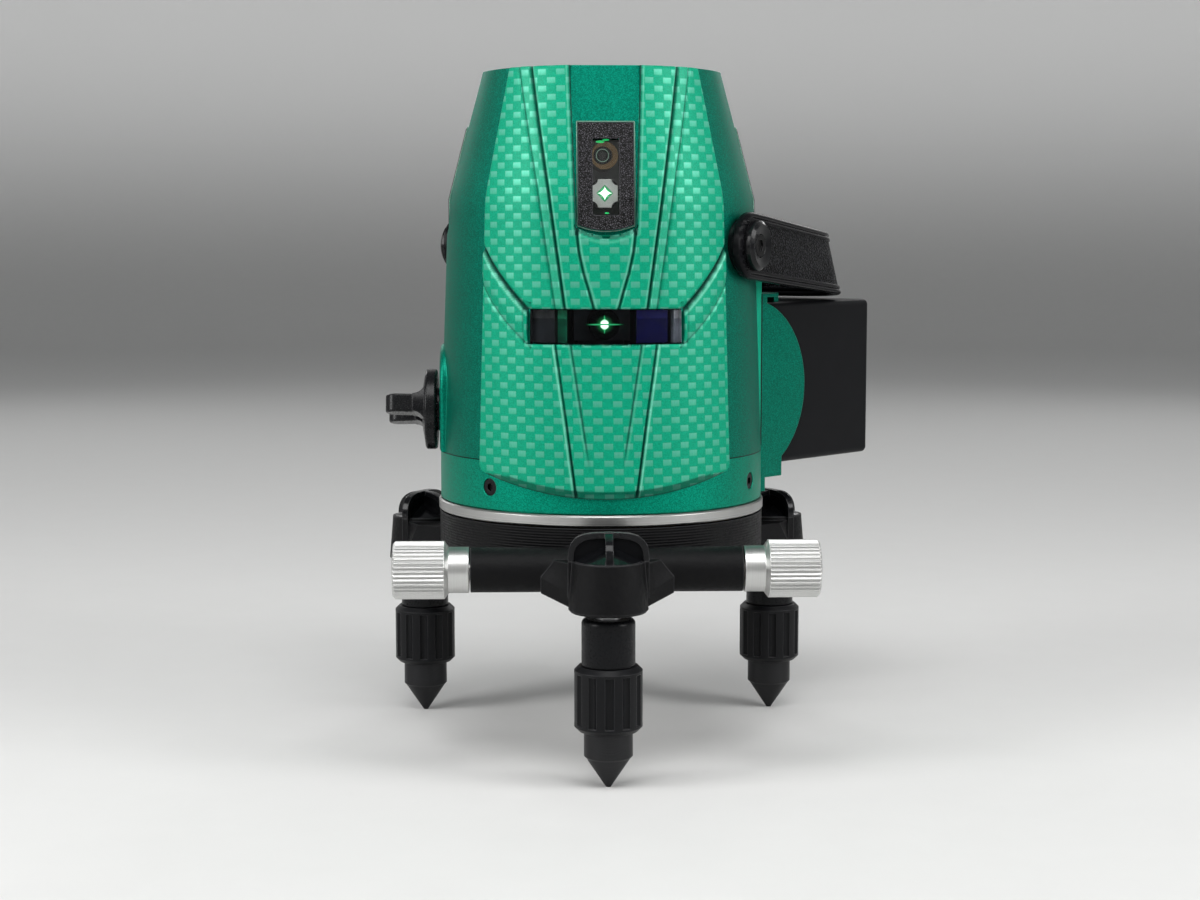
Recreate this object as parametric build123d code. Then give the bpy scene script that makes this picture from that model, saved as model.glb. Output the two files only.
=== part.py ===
from build123d import *
import os
from math import asin, atan, degrees, pi, radians, sin, sqrt, tan

# A line laser level: a tapered head that turns on a three-legged base.
# Millimetres, +Z up, the front faces -Y. The origin is the mouth of the tripod thread under the base.

# Clearances
FIT = 0.05  # radial, between a shaft or seat and its hole
GAP = 0.3  # between pieces that move past each other
SCREW_HEAD_GAP = 0.15
SCREW_SUNK = 0.3  # how far a screw head lies below the face it is let into
EXTRA = 1.0  # how far a cut or a joined foot runs past the face it meets

# Head, outside
FLOOR_Z = -58.0  # what the feet stand on
BASE_TOP_Z = 21.2
SEAM_Z = 41.7  # joint between the lower ring and the upper housing
KINK_Z = 126.5  # where the housing starts to lean in
TOP_Z = 168.5
BODY_R = 55.0
KINK_IN = 3.1  # how far the housing has drawn in at the kink
TOP_IN = 10.9  # and from there to the top
KINK_ROUND = 40.0
WALL = 3.0
KINK_R = BODY_R - KINK_IN
TOP_R = KINK_R - TOP_IN

# Base casting and turntable
BASE_R = BODY_R + 0.4
BASE_WALL = 1.6
UNDERSIDE_Z = 1.2  # the tripod seat stands this far proud of the rest of the underside
SEAT_R = 28.0
BASE_FLOOR_Z = 4.2
BOSS_CHAMFER = 0.8
TUBE_WEB_Z = (4.0, 12.0)
TUBE_WEB_INSET = 6.0
HUB_R = 16.0
HUB_Z = 12.5
TRIPOD_BORE_R = 6.75  # 5/8 inch by 11 thread, at its minor diameter
TRIPOD_LENGTH = 11.0
INSERT_R = 10.0
SPINDLE_R = 9.0
SPINDLE_BORE_R = 4.5
SPINDLE_FLANGE_R = 15.5
SPINDLE_FLANGE_T = 2.2
SPINDLE_TOP_Z = 33.0
TURNTABLE_R = BODY_R + 0.7
TURNTABLE_Z = BASE_TOP_Z + 0.5
TURNTABLE_T = 3.7
TURNTABLE_TOP_Z = TURNTABLE_Z + TURNTABLE_T
TURNTABLE_HUB_R = 22.0
TURNTABLE_HUB_GAP = 0.25
TURNTABLE_CHAMFER = 0.5
BUSH_R = 12.0
BUSH_FLANGE_R = 16.0
BUSH_FLANGE_T = 1.4
NUT_T = 4.6
NUT_ACROSS_R = 13.0
SPRING_R = 15.0
SPRING_T = 0.8
SPRING_SEAT_GAP = 0.02

# Legs and feet
LEG_ANGLES = {"front": -90, "right": 30, "left": 150}
FOOT_CIRCLE_R = BASE_R + 17.3
BOSS_R = 12.6
BOSS_TOP_R = 11.3
BOSS_BOTTOM_Z = -2.2
BOSS_TOP_Z = 13.7
CAP_INSET = 0.6
CAP_RISE = 5.2
CAP_RIB_W = 2.4
CAP_ACROSS_REACH = 12.7
CAP_ACROSS_RISE = 9.0
CAP_ACROSS_ROUND = 4.2
CAP_ALONG_REACH = 9.8
CAP_ALONG_RISE = 6.0
CAP_ALONG_ROUND = 4.8
GUSSET_HALF = 21.0
GUSSET_TOP_HALF = 16.6
GUSSET_IN_R = BASE_R - 6.0
GUSSET_OUT_R = FOOT_CIRCLE_R - 8.0
GUSSET_TOP_Z = 12.6
GUSSET_MID_Z = 7.3
GUSSET_LOW_Z = 2.2
GUSSET_END_Z = 2.8  # height of its side edge where it meets the boss
GUSSET_END_IN = 0.4  # how far its end stays inside the boss
STUD_R = 4.0
STUD_TOP_Z = 10.0
STUD_SUNK = 3.0
SLEEVE_TOP_Z = -4.3
SLEEVE_R = 8.45
SLEEVE_ROUND = 1.6
SLEEVE_NECK_R = 6.4
SLEEVE_NECK_H = 13.0
SHANK_R = 4.0
SHANK_H = 30.0
COLLAR_R = 10.75
COLLAR_H = 20.6
COLLAR_GROOVES = 12
COLLAR_GROOVE_R = 1.5
COLLAR_GROOVE_OUT = 0.5  # how far outside the rim a groove is centred
COLLAR_LIP = 2.2
COLLAR_CHAMFER = 1.4
TIP_R = 7.7
TIP_BODY_H = 8.4
TIP_CONE_H = 9.5
TIP_POINT_R = 0.8
TIP_CHAMFER = 0.6
COLLAR_Z = FLOOR_Z + TIP_CONE_H + TIP_BODY_H + GAP
COLLAR_TOP_Z = COLLAR_Z + COLLAR_H

# Fine drive: a single-start worm under the front leg, and the wheel it turns
MODULE = 1.0
WORM_PITCH_R = 4.2
ADDENDUM = 0.9 * MODULE
DEDENDUM = 1.2 * MODULE
BACKLASH = 0.3
PRESSURE_ANGLE = 20.0
WHEEL_RIM_GAP = 0.4
WHEEL_TEETH = round((BASE_R - BASE_WALL - WHEEL_RIM_GAP - ADDENDUM) * 2 / MODULE)
WHEEL_PITCH_R = WHEEL_TEETH * MODULE / 2
WORM_Y = -(WHEEL_PITCH_R + WORM_PITCH_R)
WORM_Z = 8.5
WORM_TURNS = 6
WORM_RUNOUT = 2.0
THREAD_SUNK = 0.4  # how deep the thread is rooted in the worm's core
TOOTH_CUT_OVER = 0.6
SHAFT_R = 2.6
TUBE_R = 7.2
TUBE_HALF = 43.3
TUBE_BORE_R = WORM_PITCH_R + ADDENDUM + WHEEL_RIM_GAP
WORM_BUSH_L = 6.0
WHEEL_RIM_BOTTOM_Z = 5.5
WHEEL_TEETH_TOP_Z = 11.5
WHEEL_RIM_T = 4.0
WHEEL_SHOULDER = 0.2
WHEEL_WEB_Z = 15.0
WHEEL_WEB_T = 2.5
CLUTCH_R = 20.0
CLUTCH_T = 0.45
KNOB_GAP = 0.5
KNOB_NECK_R = 7.35
KNOB_NECK_L = 6.4
KNOB_TAPER_L = 1.4
KNOB_BARREL_R = 9.25
KNOB_BARREL_L = 16.3
KNOB_RIDGES = 40
KNOB_RIDGE_H = 0.55
KNOB_CHAMFER = 0.8
KNOB_END_T = 2.0

# Lower ring and its screws
LOWER_FLOOR_T = 2.8
LOWER_GROOVE_H = 0.5
LOWER_GROOVE_D = 1.0
LOWER_HOLE_R = 18.0
SCREW_ANGLES = (-133, -27, 47, 153)
RING_SCREW_Z = 33.0
SCREW_R = 1.5
SCREW_HEAD_R = 2.75
SCREW_HEAD_T = 2.0
SCREW_SOCKET_R = 1.4
SKIRT_Z = 28.7
SKIRT_T = 3.0
SKIRT_LAP = 3.0
SKIRT_WELD = 0.5
SOCKET_SHARE = 0.6  # depth of a screw's socket against its head's thickness

# Window channels in the four sides of the head
WINDOW_ANGLES = (-90, 0, 90, 180)
CHANNEL_DEPTH = 1.4
SILL_Z = 114.2  # lowest point of the sill, which bows down between its corners
SILL_SAG = 2.7
CHANNEL_LOW_HALF = 9.4
CHANNEL_TOP_HALF = 11.2
BEZEL_HALF = 8.85
BEZEL_Z = (116.0, 150.0)
BEZEL_T = 1.0
BEZEL_SAG = 1.8
BEZEL_HOLE_CORNER = 0.6
PANE_HALF = 4.25
PANE_Z = (120.7, 145.0)
PANE_T = 1.3
PANE_LAP = 0.8
PANE_CORNER = 1.0

# Front panel and horizontal window
PANEL_HALF_ANGLE = 47.0
PANEL_T = 1.2
PANEL_SIDE_Z = 38.2
PANEL_DIP = 7.6
SLIT_Z = (80.0, 91.0)
SLIT_HALF = 24.6
SLIT_INSET = 0.5
SLIT_T = 2.5
SLIT_GAP = 0.15

# Top panel, keys and vial
TOP_RIM_W = 3.5
TOP_PANEL_T = 3.2
TOP_PANEL_DROP = 1.2
TOP_PANEL_CHAMFER = 0.4
LEDGE_W = 4.5
LEDGE_T = 2.3
KEYS = {"power_button": -150, "vertical_button": -110, "horizontal_button": -70, "pulse_button": -30}
KEY_CIRCLE_R = 23.0
KEY_R = 5.5
KEY_PROUD = 1.6
KEY_ROUND = 0.7
KEY_FLANGE_R = 6.4
KEY_FLANGE_T = 1.0
KEY_TRAVEL = 1.0
VIAL_Y = 14.0
VIAL_R = 10.0
VIAL_WALL = 1.4
VIAL_DEPTH = 7.0
VIAL_FLOOR = 1.0
VIAL_PROUD = 0.6
GLASS_SUNK = 0.2
GLASS_GAP = 0.1
BOARD_T = 1.6
BOARD_R = 31.0
POST_R = 2.5
POST_CIRCLE_R = 28.0
POST_ANGLES = (0, 90, 180)
TOP_SCREW_ANGLES = (60, 120, 240, 300)
TOP_SCREW_R = 1.0
TOP_SCREW_HEAD_R = 1.9
TOP_SCREW_HEAD_T = 0.9
TOP_SCREW_SOCKET_R = 0.9
TOP_SCREW_SUNK = 1.0

# Gimbal, pendulum and lasers
GIMBAL_Z = 110.0
GIMBAL_R = 17.0
GIMBAL_BORE_R = 12.5
GIMBAL_H = 8.0
TRUNNION_R = 2.5
TRUNNION_END = 26.0
STEM_R = 8.0
WEIGHT_R = 18.0
WEIGHT_TOP_Z = 60.0
WEIGHT_BALL_R = 64.0
TRIM_R = 6.0
BARREL_R = 5.0
BARREL_END = 36.0
BARREL_START = 7.0
VERTICAL_LASER_Z = 127.8
POINT_LASER_Z = 139.9
POINT_BARREL_R = 4.4
HORIZONTAL_LASER_Z = 85.6
HEAD_BLOCK_HALF = 11.0
HEAD_BLOCK_Z = (120.0, 146.0)
MID_BLOCK_HALF = 9.5
MID_BLOCK_H = 13.0
HOLDER_R = 4.15
HOLDER_T = 3.0
HOLDER_NOTCHES = 8
HOLDER_NOTCH_R = 0.8
LENS_R = 1.6
LENS_DEPTH = 3.0
POINT_LENS_R = 2.6
PLUMB_INSET = 1.0
CHASSIS_R = 46.0
CHASSIS_T = 2.8
CHASSIS_BORE_R = 18.0
COLUMN_CIRCLE_R = 38.0
COLUMN_R = 4.0
CHASSIS_TOP_Z = (98.0, 102.0)
CHASSIS_TOP_BORE_R = 15.0
CHASSIS_TOP_R = 44.0
EAR_Y = (20.0, 27.0)
EAR_HALF = 5.0
MAIN_BOARD_Y = 40.0
MAIN_BOARD_HALF = 16.0
MAIN_BOARD_H = 40.0

# Pendulum lock
LOCK_Z = 55.2
LOCK_LIFT = 2.5
LOCK_SHAFT_R = 4.0
LOCK_SHAFT_END = -31.0
LOCK_CRANK_R = 2.0
LOCK_CRANK_L = 5.0
LOCK_BOSS_R = 7.0
BOSS_IN_R = BODY_R - 3 * WALL  # where the bosses inside the housing end
LOCK_SLACK = 0.6  # spare height below the crank in the lifter's slot
LOCK_PAD_FACE = BODY_R - 0.2
LOCK_PAD_HALF = 15.0
LOCK_PAD_ROUND_Z = 62.9
LOCK_PAD_RIM = 1.6
LIFTER_R = 14.0
LIFTER_BORE_R = 8.0
LIFTER_T = 4.0
LIFTER_ARM_X = (-30.5, -27.5)
LIFTER_ARM_HALF = 9.0
LIFTER_BRIDGE_HALF = 5.0
GUIDE_CIRCLE_R = 20.0
GUIDE_ANGLES = (0, 120, 240)
GUIDE_R = 1.6
GUIDE_EAR_R = 4.0
LOCK_HUB_R = 7.5
LOCK_HUB_L = 0.9
LOCK_DISC_R = 13.75
LOCK_DISC_T = 5.0
LOCK_DISC_FALL = 1.1  # how much thinner the plate is at its rim
LOCK_FLAT_R = 7.0
LOCK_REACH = 17.2
LOCK_EAR_T = 6.2
LOCK_EAR_MID = 8.6
LOCK_EAR_R = 3.6
LOCK_EAR_FOOT = 7.4
LOCK_EAR_FOOT_W = 7.9
LOCK_EAR_GAP = LOCK_EAR_FOOT - LOCK_EAR_FOOT_W / 2
LOCK_EAR_ROUND = 0.7
LOCK_FILLET = 4.2
LOCK_FILLET_DIP = 0.05  # keeps the fillets from meeting a face edge-on
LOCK_DISC_ROUND = 0.9
LOCK_FACE_T = 1.0
LOCK_ROLL = 16.0

# Handle
HANDLE_ANGLE = 60.0
PIVOT_Z = 111.0
STRAP_W = 22.0
STRAP_T = 3.6
STRAP_INNER = BODY_R - 1.4
STRAP_REACH = BODY_R + 36.0
STRAP_BEND = 24.0
STRAP_DROOP = 5.0
STRAP_FLARE = 2.2  # how far the grip's lower edge stands out from its middle
PIVOT_R = 3.0
PIVOT_BOSS_R = 9.0
PIVOT_CAP_R = 8.2
PIVOT_CAP_T = 3.1
PIVOT_CAP_CHAMFER = 1.0
PIVOT_CAP_RIM_W = 1.2
PIVOT_CAP_LIP = 0.3
PIVOT_CAP_DISH = 0.9
PIVOT_HEAD_R = 3.6
PIVOT_HEAD_T = 1.6
PIVOT_SOCKET_R = 2.3

# Battery
BATTERY_ANGLE = 45.0
PACK_HALF = 35.0
PACK_Z = (34.7, 91.3)
PACK_START = BODY_R + 2.3
PACK_DEPTH = 50.3
PACK_WALL = 2.5
PACK_ROUND = 2.0
PACK_WING_T = BODY_R - 9.5  # where the case's side walls begin, beside the housing
CHEEK_T = 2.2
CHEEK_ARC_R = 30.35
CHEEK_ARC_T = BODY_R - 19.8
CHEEK_ARC_Z = 62.15
CHEEK_TOP_T = BODY_R - 11.0
CHEEK_TAIL_T = BODY_R - 11.4
CHEEK_TAIL_Z = TURNTABLE_TOP_Z + 0.5
BRACKET_Z = (30.6, 94.5)
BRACKET_WALL = 2.4
BRACKET_ROOF_H = 1.2
BRACKET_ROOF_T = BODY_R - 5.0
BRACKET_FOOT_T = BODY_R - 2.2
BRACKET_FOOT_Z = 42.0
PAD_T = BODY_R - 14.0
PAD_TOP_Z = 98.8
CELL_R = 9.25
CELL_L = 65.0
CONTACT_R = 1.2
CONTACT_Z = 62.0
CONTACT_W = (-18, -6, 6, 18)
BRACKET_SCREW_W = 20.0
BRACKET_SCREW_Z = (46.0, 80.0)
BRACKET_BOSS_R = 4.2

STAND = (Align.CENTER, Align.CENTER, Align.MIN)
FAR = 200.0


def disc(radius, low, high):
    return Pos(0, 0, low) * Cylinder(radius, high - low, align=STAND)


def ring(radius, bore, low, high):
    return disc(radius, low, high) - disc(bore, low, high)


def turned(*points):
    """A solid of revolution about the upright axis, from its half section."""
    return revolve(Plane.XZ * Polygon(*points), Axis.Z)


def rod(radius, start, end, height, angle):
    """A cylinder that points outwards from the upright axis."""
    along = Pos(start, 0, height) * Rot(0, 90, 0) * Cylinder(radius, end - start, align=STAND)
    return Rot(0, 0, angle) * along


def block(x, y, z):
    """A box from pairs of limits."""
    size = Box(x[1] - x[0], y[1] - y[0], z[1] - z[0])
    return Pos((x[0] + x[1]) / 2, (y[0] + y[1]) / 2, (z[0] + z[1]) / 2) * size


def side_prism(half_width, *points):
    """A solid with this outline seen from the side, radius against height, centred on the +X side."""
    return extrude(Plane.XZ * Polygon(*points), amount=half_width, both=True)


def group(solids):
    return Compound(children=list(solids))


def socket_screw(radius, head_r, head_t, length, socket_r):
    """A socket-head screw that points along -Z, with its head's seat at the origin."""
    head = Cylinder(head_r, head_t, align=STAND)
    socket = extrude(RegularPolygon(socket_r, 6), head_t)
    return head - Pos(0, 0, head_t * (1 - SOCKET_SHARE)) * socket + disc(radius, -length, 0)


# Housing form


def wall_radius(z):
    """Outer radius of the head at a height, along its two straight tapers."""
    if z < KINK_Z:
        return BODY_R - KINK_IN * (z - SEAM_Z) / (KINK_Z - SEAM_Z)
    return KINK_R - TOP_IN * (z - KINK_Z) / (TOP_Z - KINK_Z)


def body_form(inset, low, high):
    """The head's outer form between two heights, drawn in by inset."""
    section = Polygon(
        (0, low),
        (wall_radius(low) - inset, low),
        (KINK_R - inset, KINK_Z),
        (wall_radius(high) - inset, high),
        (0, high),
    )
    kink = section.vertices().sort_by_distance((KINK_R - inset, KINK_Z, 0))[0]
    return revolve(Plane.XZ * fillet(kink, KINK_ROUND), Axis.Z)


def front_sector(outer_inset, thickness, half_angle, low, high):
    """A curved piece of the head's wall, centred on the front."""
    points = []
    for z in (low, high):
        points.append((wall_radius(z) - outer_inset, z))
    for z in (high, low):
        points.append((wall_radius(z) - outer_inset - thickness, z))
    sector = revolve(Plane.XZ * Polygon(*points), Axis.Z, 2 * half_angle)
    return Rot(0, 0, -90 - half_angle) * sector


def channel_band(inner, outer, low, high, half_width):
    """A bent plate that follows a window channel's floor, from inner to outer above that floor."""
    floor_low = KINK_R - CHANNEL_DEPTH

    def floor(z):
        return wall_radius(max(z, KINK_Z)) - CHANNEL_DEPTH

    return side_prism(
        half_width,
        (floor_low + inner, low),
        (floor_low + outer, low),
        (floor_low + outer, KINK_Z),
        (floor(high) + outer, high),
        (floor(high) + inner, high),
        (floor_low + inner, KINK_Z),
    )


def window_outline(half_width, low, high, corner):
    """An upright plate outline with round lower corners, pushed out along +X."""
    face = Pos(0, (low + high) / 2) * Rectangle(2 * half_width, high - low)
    corners = face.vertices().sort_by(Axis.Y)[:2]
    return extrude(Plane.YZ * fillet(corners, corner), FAR)


def bowed_outline(low_half, high_half, low, high, sag):
    """An upright outline with straight sides and a lower edge that bows down, pushed out along +X."""
    corner = low + sag
    edge = ThreePointArc((-low_half, corner), (0, low), (low_half, corner))
    sides = Polyline((low_half, corner), (high_half, high), (-high_half, high), (-low_half, corner))
    return extrude(Plane.YZ * make_face([edge, *sides.edges()]), FAR)


def slit_half_angle(clearance):
    return degrees(asin((SLIT_HALF + clearance) / BODY_R))


# Base


def gusset(angle):
    """A roofed web that ties a leg boss into the ring, and narrows where it reaches the boss."""
    wide = (
        (GUSSET_TOP_HALF, GUSSET_TOP_Z),
        (GUSSET_HALF, GUSSET_MID_Z),
        (GUSSET_HALF, GUSSET_LOW_Z),
    )
    narrow = (
        (BOSS_TOP_R - GUSSET_END_IN, GUSSET_TOP_Z),
        (BOSS_TOP_R, GUSSET_END_Z),
        (BOSS_TOP_R - 2 * BOSS_CHAMFER, BOSS_BOTTOM_Z),
    )
    sections = []
    for radius, half in ((GUSSET_IN_R, wide), (GUSSET_OUT_R, wide), (FOOT_CIRCLE_R, narrow)):
        other = [(-w, z) for w, z in reversed(half)]
        sections.append(Plane.YZ.offset(radius) * Polygon(*half, *other))
    return Rot(0, 0, angle) * loft(sections, ruled=True)


def at_foot(angle, piece):
    return Rot(0, 0, angle) * Pos(FOOT_CIRCLE_R, 0, 0) * piece


def at_feet(piece):
    return group(at_foot(angle, piece) for angle in LEG_ANGLES.values())


def base_casting():
    casting = disc(BASE_R, UNDERSIDE_Z, BASE_TOP_Z)
    boss = turned((0, BOSS_BOTTOM_Z), (BOSS_R, BOSS_BOTTOM_Z), (BOSS_TOP_R, BOSS_TOP_Z), (0, BOSS_TOP_Z))
    boss = chamfer(boss.edges().sort_by(Axis.Z)[0], BOSS_CHAMFER)
    reach = (-CAP_ACROSS_REACH, CAP_ACROSS_REACH)
    boss += block((-CAP_RIB_W / 2, CAP_RIB_W / 2), reach, (GUSSET_LOW_Z, BOSS_TOP_Z))
    for angle in LEG_ANGLES.values():
        casting += at_foot(angle, boss)
        casting += gusset(angle) - disc(BASE_R, BOSS_BOTTOM_Z, UNDERSIDE_Z)
    casting += along_worm(disc(TUBE_R, -TUBE_HALF, TUBE_HALF))
    web_half = TUBE_HALF - TUBE_WEB_INSET
    casting += block((-web_half, web_half), (WORM_Y, -BASE_R / 2), TUBE_WEB_Z)
    casting -= disc(BASE_R - BASE_WALL, BASE_FLOOR_Z, BASE_TOP_Z)
    casting += disc(SEAT_R, 0, BASE_FLOOR_Z)
    casting += disc(HUB_R, 0, HUB_Z)
    casting -= disc(INSERT_R + FIT, 0, TRIPOD_LENGTH)
    casting -= disc(SPINDLE_BORE_R, 0, HUB_Z)
    casting -= along_worm(disc(TUBE_BORE_R, -TUBE_HALF, TUBE_HALF))
    for angle in LEG_ANGLES.values():
        casting -= at_foot(angle, disc(STUD_R + FIT, BOSS_BOTTOM_Z, STUD_TOP_Z))
    return casting


def cap_rib(reach, rise, corner):
    """An upright plate along X with round shoulders."""
    outline = Pos(0, BOSS_TOP_Z + rise / 2) * Rectangle(2 * reach, rise)
    outline = fillet(outline.vertices().sort_by(Axis.Y)[-2:], corner)
    return extrude(Plane.XZ * outline, CAP_RIB_W / 2, both=True)


def leg_caps():
    """Conical plugs with a tall rib across and a lower one along the leg's spoke, on top of the bosses."""
    cap_r = BOSS_TOP_R - CAP_INSET
    cap = turned((0, BOSS_TOP_Z), (cap_r, BOSS_TOP_Z), (0, BOSS_TOP_Z + CAP_RISE))
    cap += cap_rib(CAP_ALONG_REACH, CAP_ALONG_RISE, CAP_ALONG_ROUND)
    cap += Rot(0, 0, 90) * cap_rib(CAP_ACROSS_REACH, CAP_ACROSS_RISE, CAP_ACROSS_ROUND)
    return at_feet(cap) - along_worm(disc(TUBE_R + FIT, -TUBE_HALF, TUBE_HALF))


def tripod_insert():
    return ring(INSERT_R, TRIPOD_BORE_R, 0, TRIPOD_LENGTH)


def spindle():
    shaft = disc(SPINDLE_FLANGE_R, HUB_Z, HUB_Z + SPINDLE_FLANGE_T)
    shaft += disc(SPINDLE_R, HUB_Z, SPINDLE_TOP_Z)
    return shaft - disc(SPINDLE_BORE_R, HUB_Z, SPINDLE_TOP_Z)


def spindle_nut():
    nut = extrude(RegularPolygon(NUT_ACROSS_R, 6), NUT_T)
    return Pos(0, 0, SPINDLE_TOP_Z - NUT_T) * nut - disc(SPINDLE_R + FIT, 0, SPINDLE_TOP_Z)


def foot_studs():
    return at_feet(disc(STUD_R, SLEEVE_TOP_Z - STUD_SUNK, STUD_TOP_Z))


def foot_sleeves():
    sleeve = disc(SLEEVE_R, COLLAR_TOP_Z + GAP, SLEEVE_TOP_Z)
    sleeve = fillet(sleeve.edges().sort_by(Axis.Z)[-1], SLEEVE_ROUND)
    sleeve += disc(SLEEVE_NECK_R, COLLAR_TOP_Z + GAP - SLEEVE_NECK_H, COLLAR_TOP_Z + GAP)
    sleeve -= disc(SHANK_R + GAP, FLOOR_Z, SLEEVE_TOP_Z - STUD_SUNK - EXTRA)
    return at_feet(sleeve - disc(STUD_R + FIT, SLEEVE_TOP_Z - STUD_SUNK, SLEEVE_TOP_Z))


def foot_collar(angle):
    """The grooved nut that is turned to run the tip in and out."""
    collar = disc(COLLAR_R, COLLAR_Z, COLLAR_TOP_Z)
    collar = chamfer(collar.edges().filter_by(GeomType.CIRCLE), COLLAR_CHAMFER)
    groove = disc(COLLAR_GROOVE_R, COLLAR_Z + COLLAR_LIP, COLLAR_TOP_Z - COLLAR_LIP)
    for spot in PolarLocations(COLLAR_R + COLLAR_GROOVE_OUT, COLLAR_GROOVES):
        collar -= spot * groove
    collar -= disc(SLEEVE_NECK_R + FIT, COLLAR_TOP_Z - SLEEVE_NECK_H, COLLAR_TOP_Z)
    collar -= disc(SHANK_R + FIT, COLLAR_Z, COLLAR_TOP_Z)
    return at_foot(angle, collar)


def foot_tip(angle):
    top = FLOOR_Z + TIP_CONE_H + TIP_BODY_H
    tip = turned(
        (0, FLOOR_Z),
        (TIP_POINT_R, FLOOR_Z),
        (TIP_R - TIP_CHAMFER, FLOOR_Z + TIP_CONE_H),
        (TIP_R, FLOOR_Z + TIP_CONE_H + TIP_CHAMFER),
        (TIP_R, top),
        (SHANK_R, top),
        (SHANK_R, top + SHANK_H),
        (0, top + SHANK_H),
    )
    return at_foot(angle, tip)


# Fine drive


def along_worm(piece):
    """Lay a piece that was made along Z in the cross tube, its own X side towards the wheel."""
    return Plane(origin=(0, WORM_Y, WORM_Z), x_dir=(0, 1, 0), z_dir=(1, 0, 0)) * piece


def knob_end(reach):
    return TUBE_HALF + KNOB_GAP + reach


def worm_shaft():
    pitch = pi * MODULE
    slope = tan(radians(PRESSURE_ANGLE))
    half = (pitch / 2 - BACKLASH) / 2
    root = WORM_PITCH_R - DEDENDUM
    crest = WORM_PITCH_R + ADDENDUM
    inner = -DEDENDUM - THREAD_SUNK
    length = WORM_TURNS * pitch
    path = Pos(0, 0, -length / 2) * Helix(pitch, length, WORM_PITCH_R)
    section = Polygon(
        (inner, -half + inner * slope),
        (ADDENDUM, -half + ADDENDUM * slope),
        (ADDENDUM, half - ADDENDUM * slope),
        (inner, half - inner * slope),
    )
    start = Plane(origin=path @ 0, x_dir=(1, 0, 0), z_dir=path % 0)
    thread = sweep(start * section, path=path, is_frenet=True)
    core_end = length / 2 + WORM_RUNOUT
    worm = disc(root, -core_end, core_end) + thread
    worm &= disc(crest, -core_end, core_end)
    end = knob_end(KNOB_NECK_L + KNOB_TAPER_L + KNOB_BARREL_L) - KNOB_END_T
    return along_worm(worm + disc(SHAFT_R, -end, end))


def worm_bushes():
    bush = ring(TUBE_BORE_R - FIT, SHAFT_R + FIT, TUBE_HALF - WORM_BUSH_L, TUBE_HALF)
    return group((along_worm(bush), along_worm(Rot(180, 0, 0) * bush)))


def fine_knob(side):
    """A straight-knurled knob with a plain neck, on one end of the worm shaft."""
    neck = knob_end(0)
    taper = neck + KNOB_NECK_L
    barrel = taper + KNOB_TAPER_L
    end = barrel + KNOB_BARREL_L
    knob = turned(
        (SHAFT_R + FIT, neck),
        (KNOB_NECK_R, neck),
        (KNOB_NECK_R, taper),
        (KNOB_BARREL_R, barrel),
        (KNOB_BARREL_R, end - KNOB_CHAMFER),
        (KNOB_BARREL_R - KNOB_CHAMFER, end),
        (0, end),
        (0, end - KNOB_END_T + FIT),
        (SHAFT_R + FIT, end - KNOB_END_T + FIT),
    )
    groove = Polygon((KNOB_BARREL_R - KNOB_RIDGE_H, 0), (FAR, -FAR), (FAR, FAR))
    groove &= Circle(KNOB_BARREL_R + EXTRA)
    cutter = Pos(0, 0, barrel) * extrude(groove, KNOB_BARREL_L)
    knob -= [Rot(0, 0, 360 * i / KNOB_RIDGES) * cutter for i in range(KNOB_RIDGES)]
    turn = Rot(0, 0, 0) if side > 0 else Rot(180, 0, 0)
    return along_worm(turn * knob)


def worm_wheel():
    tip = WHEEL_PITCH_R + ADDENDUM
    root = WHEEL_PITCH_R - DEDENDUM
    top = WHEEL_WEB_Z + WHEEL_WEB_T
    wheel = turned(
        (SPINDLE_R + FIT, WHEEL_WEB_Z),
        (root - WHEEL_RIM_T, WHEEL_WEB_Z),
        (root - WHEEL_RIM_T, WHEEL_RIM_BOTTOM_Z),
        (tip, WHEEL_RIM_BOTTOM_Z),
        (tip, WHEEL_TEETH_TOP_Z),
        (root - WHEEL_SHOULDER, WHEEL_TEETH_TOP_Z),
        (root - WHEEL_SHOULDER, top),
        (SPINDLE_R + FIT, top),
    )
    slope = tan(radians(PRESSURE_ANGLE))
    half = (pi * MODULE / 2 + BACKLASH) / 2
    reach = ADDENDUM + TOOTH_CUT_OVER
    section = Polygon(
        (root, -half + DEDENDUM * slope),
        (WHEEL_PITCH_R + reach, -half - reach * slope),
        (WHEEL_PITCH_R + reach, half + reach * slope),
        (root, half - DEDENDUM * slope),
    )
    lead = degrees(atan(MODULE / (2 * WORM_PITCH_R)))
    cut_half = (WHEEL_TEETH_TOP_Z - WHEEL_RIM_BOTTOM_Z) / 2 + EXTRA
    gap = Pos(0, 0, WORM_Z) * Rot(-lead, 0, 0) * extrude(section, cut_half, both=True)
    step = 360 / WHEEL_TEETH
    return wheel - [Rot(0, 0, -90 + step * i) * gap for i in range(WHEEL_TEETH)]


def clutch_washer():
    top = WHEEL_WEB_Z + WHEEL_WEB_T
    return ring(CLUTCH_R, BUSH_R + GAP, top, top + CLUTCH_T)


# Turntable and lower ring


def turntable_hub_z():
    return WHEEL_WEB_Z + WHEEL_WEB_T + CLUTCH_T + TURNTABLE_HUB_GAP


def turntable():
    plate = disc(TURNTABLE_R, TURNTABLE_Z, TURNTABLE_TOP_Z)
    plate = chamfer(plate.edges().filter_by(GeomType.CIRCLE), TURNTABLE_CHAMFER)
    plate += disc(TURNTABLE_HUB_R, turntable_hub_z(), TURNTABLE_Z + EXTRA)
    return plate - disc(BUSH_R + FIT, 0, TURNTABLE_TOP_Z)


def turntable_bush():
    bush = disc(BUSH_R, turntable_hub_z(), TURNTABLE_TOP_Z)
    bush += disc(BUSH_FLANGE_R, TURNTABLE_TOP_Z, TURNTABLE_TOP_Z + BUSH_FLANGE_T)
    return bush - disc(SPINDLE_R + FIT, 0, SPINDLE_TOP_Z)


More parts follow.
